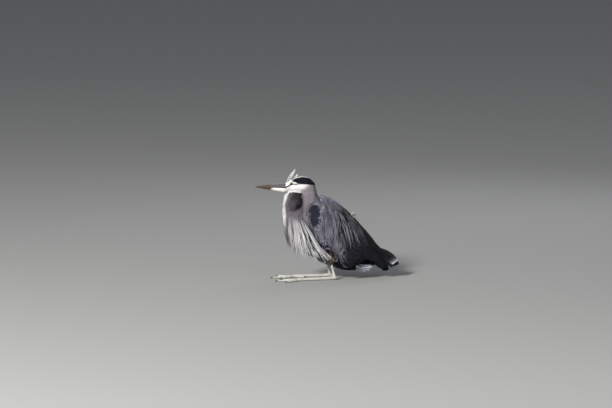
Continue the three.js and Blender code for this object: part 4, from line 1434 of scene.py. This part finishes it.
legTones = {"skin": (0.80, 0.80, 0.77), "skinDark": (0.56, 0.55, 0.50), "claw": (0.13, 0.115, 0.105)}

# shank stations from the thigh down: place along the bird, outward shift, height, half width
shankStations = [(-0.0235, 0.0020, 0.100, 0.0066), (-0.020, 0.0015, 0.084, 0.0058),
                 (-0.016, 0.0012, 0.066, 0.0051), (-0.0125, 0.0008, 0.050, 0.0050),
                 (-0.009, 0.0005, 0.036, 0.0058), (-0.0065, 0.0003, 0.026, 0.0074),
                 (-0.0045, 0.0, 0.017, 0.0088), (-0.003, 0.0, 0.010, 0.0080), (-0.002, 0.0, 0.005, 0.0050)]
# tarsus stations from the ankle on: share of the length, place, height, half width, half height
tarsusOutline = [(0.00, -0.0100, 0.0110, 0.0040, 0.0045), (0.04, -0.0040, 0.0108, 0.0078, 0.0088),
                 (0.10, 0.0080, 0.0102, 0.0076, 0.0086), (0.22, 0.0310, 0.0082, 0.0056, 0.0068),
                 (0.55, 0.0930, 0.0076, 0.0050, 0.0062), (0.82, 0.1440, 0.0078, 0.0056, 0.0066),
                 (0.93, 0.1650, 0.0080, 0.0072, 0.0070), (1.00, 0.1780, 0.0074, 0.0060, 0.0056)]


def plated(length, outline):
    # stations a third of a plate apart; each plate's far edge stands a little out over the next
    count = int(3 * length / leg["plate"])
    for k in range(count + 1):
        share = k / count
        x, z, wide, tall = (float(onLine(share, [(row[0], row[c]) for row in outline])) for c in range(1, 5))
        swell = 1 + leg["step"] * (0, 0.6, 1)[k % 3]
        yield (-x, 0, z), wide * swell, tall * swell


def settleOnFloor(piece):
    lowest = leg["floorAt"]
    for vertex in piece.data.vertices:
        if vertex.co.z < lowest:
            vertex.co.z = lowest + leg["pressed"] * (vertex.co.z - lowest)


def turnedAndMoved(piece, degrees, place):
    deselectAll()
    piece.select_set(True)
    bpy.context.view_layer.objects.active = piece
    piece.rotation_euler = (0, 0, math.radians(degrees))
    piece.location = place
    bpy.ops.object.transform_apply(location=True, rotation=True, scale=True)


def joinAll(name, pieces):
    deselectAll()
    for piece in pieces:
        piece.select_set(True)
    bpy.context.view_layer.objects.active = pieces[0]
    bpy.ops.object.join()
    made = bpy.context.view_layer.objects.active
    made.name = name
    made.data.name = name
    return made


def makeShank(side, sign):
    stations = [((axisX(x), sign * (leg["ankleY"] + out), z), wide, wide * 0.9)
                for x, out, z, wide in shankStations]
    return drawnTube(f"shank_{side}_skin", stations, leg["sides"], upright=True)


def makeTarsus(side, sign):
    shaft = drawnTube(f"tarsus_{side}_skin", list(plated(leg["tarsusDrawn"], tarsusOutline)), leg["sides"])
    slant = math.degrees(math.atan2(leg["splay"], leg["tarsus"]))
    turnedAndMoved(shaft, -sign * slant, (axisX(leg["ankleX"]), sign * leg["ankleY"], 0))
    return shaft


def toeOutline(length):
    form = toeForm
    for k in range(form["parts"] + 1):
        share = k / form["parts"]
        knuckle = 1 + form["knuckle"] * math.cos(2 * math.pi * form["knuckles"] * share)
        end = 0.5 if k == form["parts"] else 1
        girth = (form["thick"] - form["thinning"] * share) * knuckle * end
        x = -form["overlap"] + (length + form["beyond"]) * share
        yield share, x, form["rootZ"] - form["drop"] * share, girth, girth * form["flatter"]


def clawStations(length):
    form = clawForm
    for share in form["shares"]:
        x = length - form["overlap"] + leg["clawLength"] * form["reach"] * share
        z = form["rootZ"] + form["rise"] * share - form["hook"] * share**2
        wide, tall = (half * (1 - share) ** 0.7 + form["tip"] for half in form["half"])
        yield (-x, 0, z), wide, tall


def makeLeg(side, sign, material, clawMaterial):
    foot = (axisX(leg["ankleX"]) - leg["tarsus"], sign * (leg["ankleY"] + leg["splay"]), 0)
    parts, claws = [makeShank(side, sign), makeTarsus(side, sign)], []
    for toe, (length, degrees) in toes.items():
        stations = list(plated(length, list(toeOutline(length))))
        parts.append(drawnTube(f"toe_{side}_{toe}", stations, leg["toeSides"]))
        claws.append(drawnTube(f"claw_{side}_{toe}", list(clawStations(length)), leg["toeSides"]))
        turnedAndMoved(parts[-1], sign * degrees, foot)
        turnedAndMoved(claws[-1], sign * degrees, foot)
    skinPiece = joinAll(f"leg_{side}_skin", parts)
    clawPiece = joinAll(f"claws_{side}", claws)
    for piece, finish, slotName in ((skinPiece, material, "leg_skin"), (clawPiece, clawMaterial, "claw")):
        settleOnFloor(piece)
        piece.data.materials.clear()
        piece.data.materials.append(finish)
        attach(piece, "root")
    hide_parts(f"shank_{side}", f"tarsus_{side}", f"foot_{side}")
    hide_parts(*(f"claw_{side}_{toe}" for toe in toes))


legFinish = {"roughness": 0.55, "specular": 0.35, "scales": 420.0, "seamRise": 9.0, "seam": 0.6,
             "blotches": 55.0, "blotchFrom": 0.45, "blotchRise": 2.6, "blotch": 0.6, "plateRise": 3.0,
             "bump": 0.5, "bumpDepth": 0.0006}


def legMaterial():
    # small scales with dark seams, and darker blotches
    finish = legFinish
    material, shader = newMaterial("legSkin", finish["roughness"], finish["specular"])
    tree = material.node_tree
    scale = addNode(tree, "ShaderNodeTexVoronoi", {"feature": "DISTANCE_TO_EDGE"}, Scale=finish["scales"])
    tree.links.new(placeNode(tree), scale.inputs["Vector"])
    fromSeam = mathNode(tree, "MULTIPLY", scale.outputs[0], finish["seamRise"], True)
    seam = mathNode(tree, "SUBTRACT", 1.0, fromSeam, True)
    blotch = mathNode(tree, "SUBTRACT", noiseNode(tree, finish["blotches"], 5.0), finish["blotchFrom"])
    dark = mathNode(tree, "MULTIPLY", blotch, finish["blotchRise"], True)
    dark = mathNode(tree, "MULTIPLY", dark, finish["blotch"])
    darkTone = linear(legTones["skinDark"])
    colour = mixColour(tree, "MIX", dark, linear(legTones["skin"]), darkTone)
    colour = mixColour(tree, "MIX", mathNode(tree, "MULTIPLY", seam, finish["seam"]), colour, darkTone)
    plate = mathNode(tree, "MULTIPLY", scale.outputs[0], finish["plateRise"], True)
    return finishSurface(material, shader, colour, plate, finish["bump"], finish["bumpDepth"])


scaledSkin = legMaterial()
clawHorn = plainMaterial("clawHorn", linear(legTones["claw"]), 0.35, 0.4)
for side, sign in zip(wingSides, (-1, 1)):
    makeLeg(side, sign, scaledSkin, clawHorn)
print("legs drawn")

# the skin sinks under the coat by the coat's depth
depthOf = np.array([skinForm["coatDepth"].get(name, skinForm["bodyDepth"]) for name in skinNodes])
pointNode = findNode(guidePoints)
sunk = guidePoints - guideNormals * depthOf[pointNode][:, None]
skin.data.vertices.foreach_set("co", sunk.reshape(-1).astype(np.float32))
skin.data.update()
skinTones = {"head": headTone, "neck_upper": neckTone, "neck_fold": foldTone, "neck_base": breastTone,
             "belly": bellyTone, "thigh_left": thighTone, "thigh_right": thighTone, "mantle": mantleTone}
skinTones.update({nodeName: covertTone for nodeName in wingNodes("coverts", "scapulars")})
skinShade = {"head": 0.85, "elsewhere": 0.6}
skinTint = np.tile(tones["primaryDark"], (len(guidePoints), 1))
for name, tone in skinTones.items():
    here = pointNode == nodeIndex[name]
    skinTint[here] = tone(guidePoints[here])[0] * skinShade.get(name, skinShade["elsewhere"])
skinTint[bareSkin(guidePoints) & (pointNode == nodeIndex["head"])] = tones["loreSkin"]
writeTint(skin.data, skinTint)
skin.data.materials.append(makeSkinMaterial())
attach(skin, "root")
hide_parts(*skinNodes)
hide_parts("plumes_front", "plumes_left", "plumes_right")
print("skin sunk under the coat")

# the camera: middle and ankles are places in its picture, and unit is one picture element at the bird
view = {"azimuth": -12.0, "elevation": 7.0, "distance": 15.0, "sensor": 36.0, "unit": 0.0046, "width": 612,
        "middle": (306, 204), "ankles": (333, 278.3)}
azimuth, elevation = math.radians(view["azimuth"]), math.radians(view["elevation"])
right = Vector((math.cos(azimuth), math.sin(azimuth), 0))
toCamera = Vector((math.sin(azimuth) * math.cos(elevation), -math.cos(azimuth) * math.cos(elevation),
                   math.sin(elevation)))
upward = toCamera.cross(right)
sidewaysBy = (view["middle"][0] - view["ankles"][0]) * view["unit"]
upwardsBy = (view["ankles"][1] - view["middle"][1]) * view["unit"]
aim = Vector((bird["ankleX"], 0, 0)) + right * sidewaysBy + upward * upwardsBy
cameraData = bpy.data.cameras.new("camera")
cameraData.sensor_width = view["sensor"]
cameraData.lens = view["sensor"] * view["distance"] / (view["width"] * view["unit"])
camera = bpy.data.objects.new("camera", cameraData)
camera.location = aim + toCamera * view["distance"]
camera.rotation_euler = toCamera.to_track_quat("Z", "Y").to_euler()
bpy.context.scene.collection.objects.link(camera)
bpy.context.scene.camera = camera

lights = {
    "key": {"place": (-6.6, -6.8, 5.7), "size": 2.2, "power": 1600, "tone": (1.0, 0.985, 0.96)},
    "fill": {"place": (1.5, -3.5, 1.8), "size": 2.5, "power": 10, "tone": (0.93, 0.96, 1.0)},
    "rim": {"place": (2.0, 2.5, 2.6), "size": 2.0, "power": 20, "tone": (0.95, 0.97, 1.0)},
}
studio = {"aimAt": (0, 0, 0.25), "sky": (0.80, 0.83, 0.88), "skyStrength": 0.26, "floorSize": 60,
          "floorColour": (0.36, 0.36, 0.355)}
for name, light in lights.items():
    data = bpy.data.lights.new(name, "AREA")
    data.size = light["size"]
    data.energy = light["power"]
    data.color = light["tone"]
    lamp = bpy.data.objects.new(name, data)
    lamp.location = light["place"]
    away = Vector(light["place"]) - Vector(studio["aimAt"])
    lamp.rotation_euler = away.to_track_quat("Z", "Y").to_euler()
    bpy.context.scene.collection.objects.link(lamp)
world = bpy.data.worlds.new("studio")
bpy.context.scene.world = world
world.use_nodes = True
world.node_tree.nodes["Background"].inputs[0].default_value = (*studio["sky"], 1)
world.node_tree.nodes["Background"].inputs[1].default_value = studio["skyStrength"]
bpy.context.scene.view_settings.view_transform = "Standard"

deselectAll()
bpy.ops.mesh.primitive_plane_add(size=studio["floorSize"], location=(0, 0, 0))
floor = bpy.context.active_object
floor.name = "floor"
floor.data.materials.append(plainMaterial("floorPaint", studio["floorColour"], 0.9, 0.2))
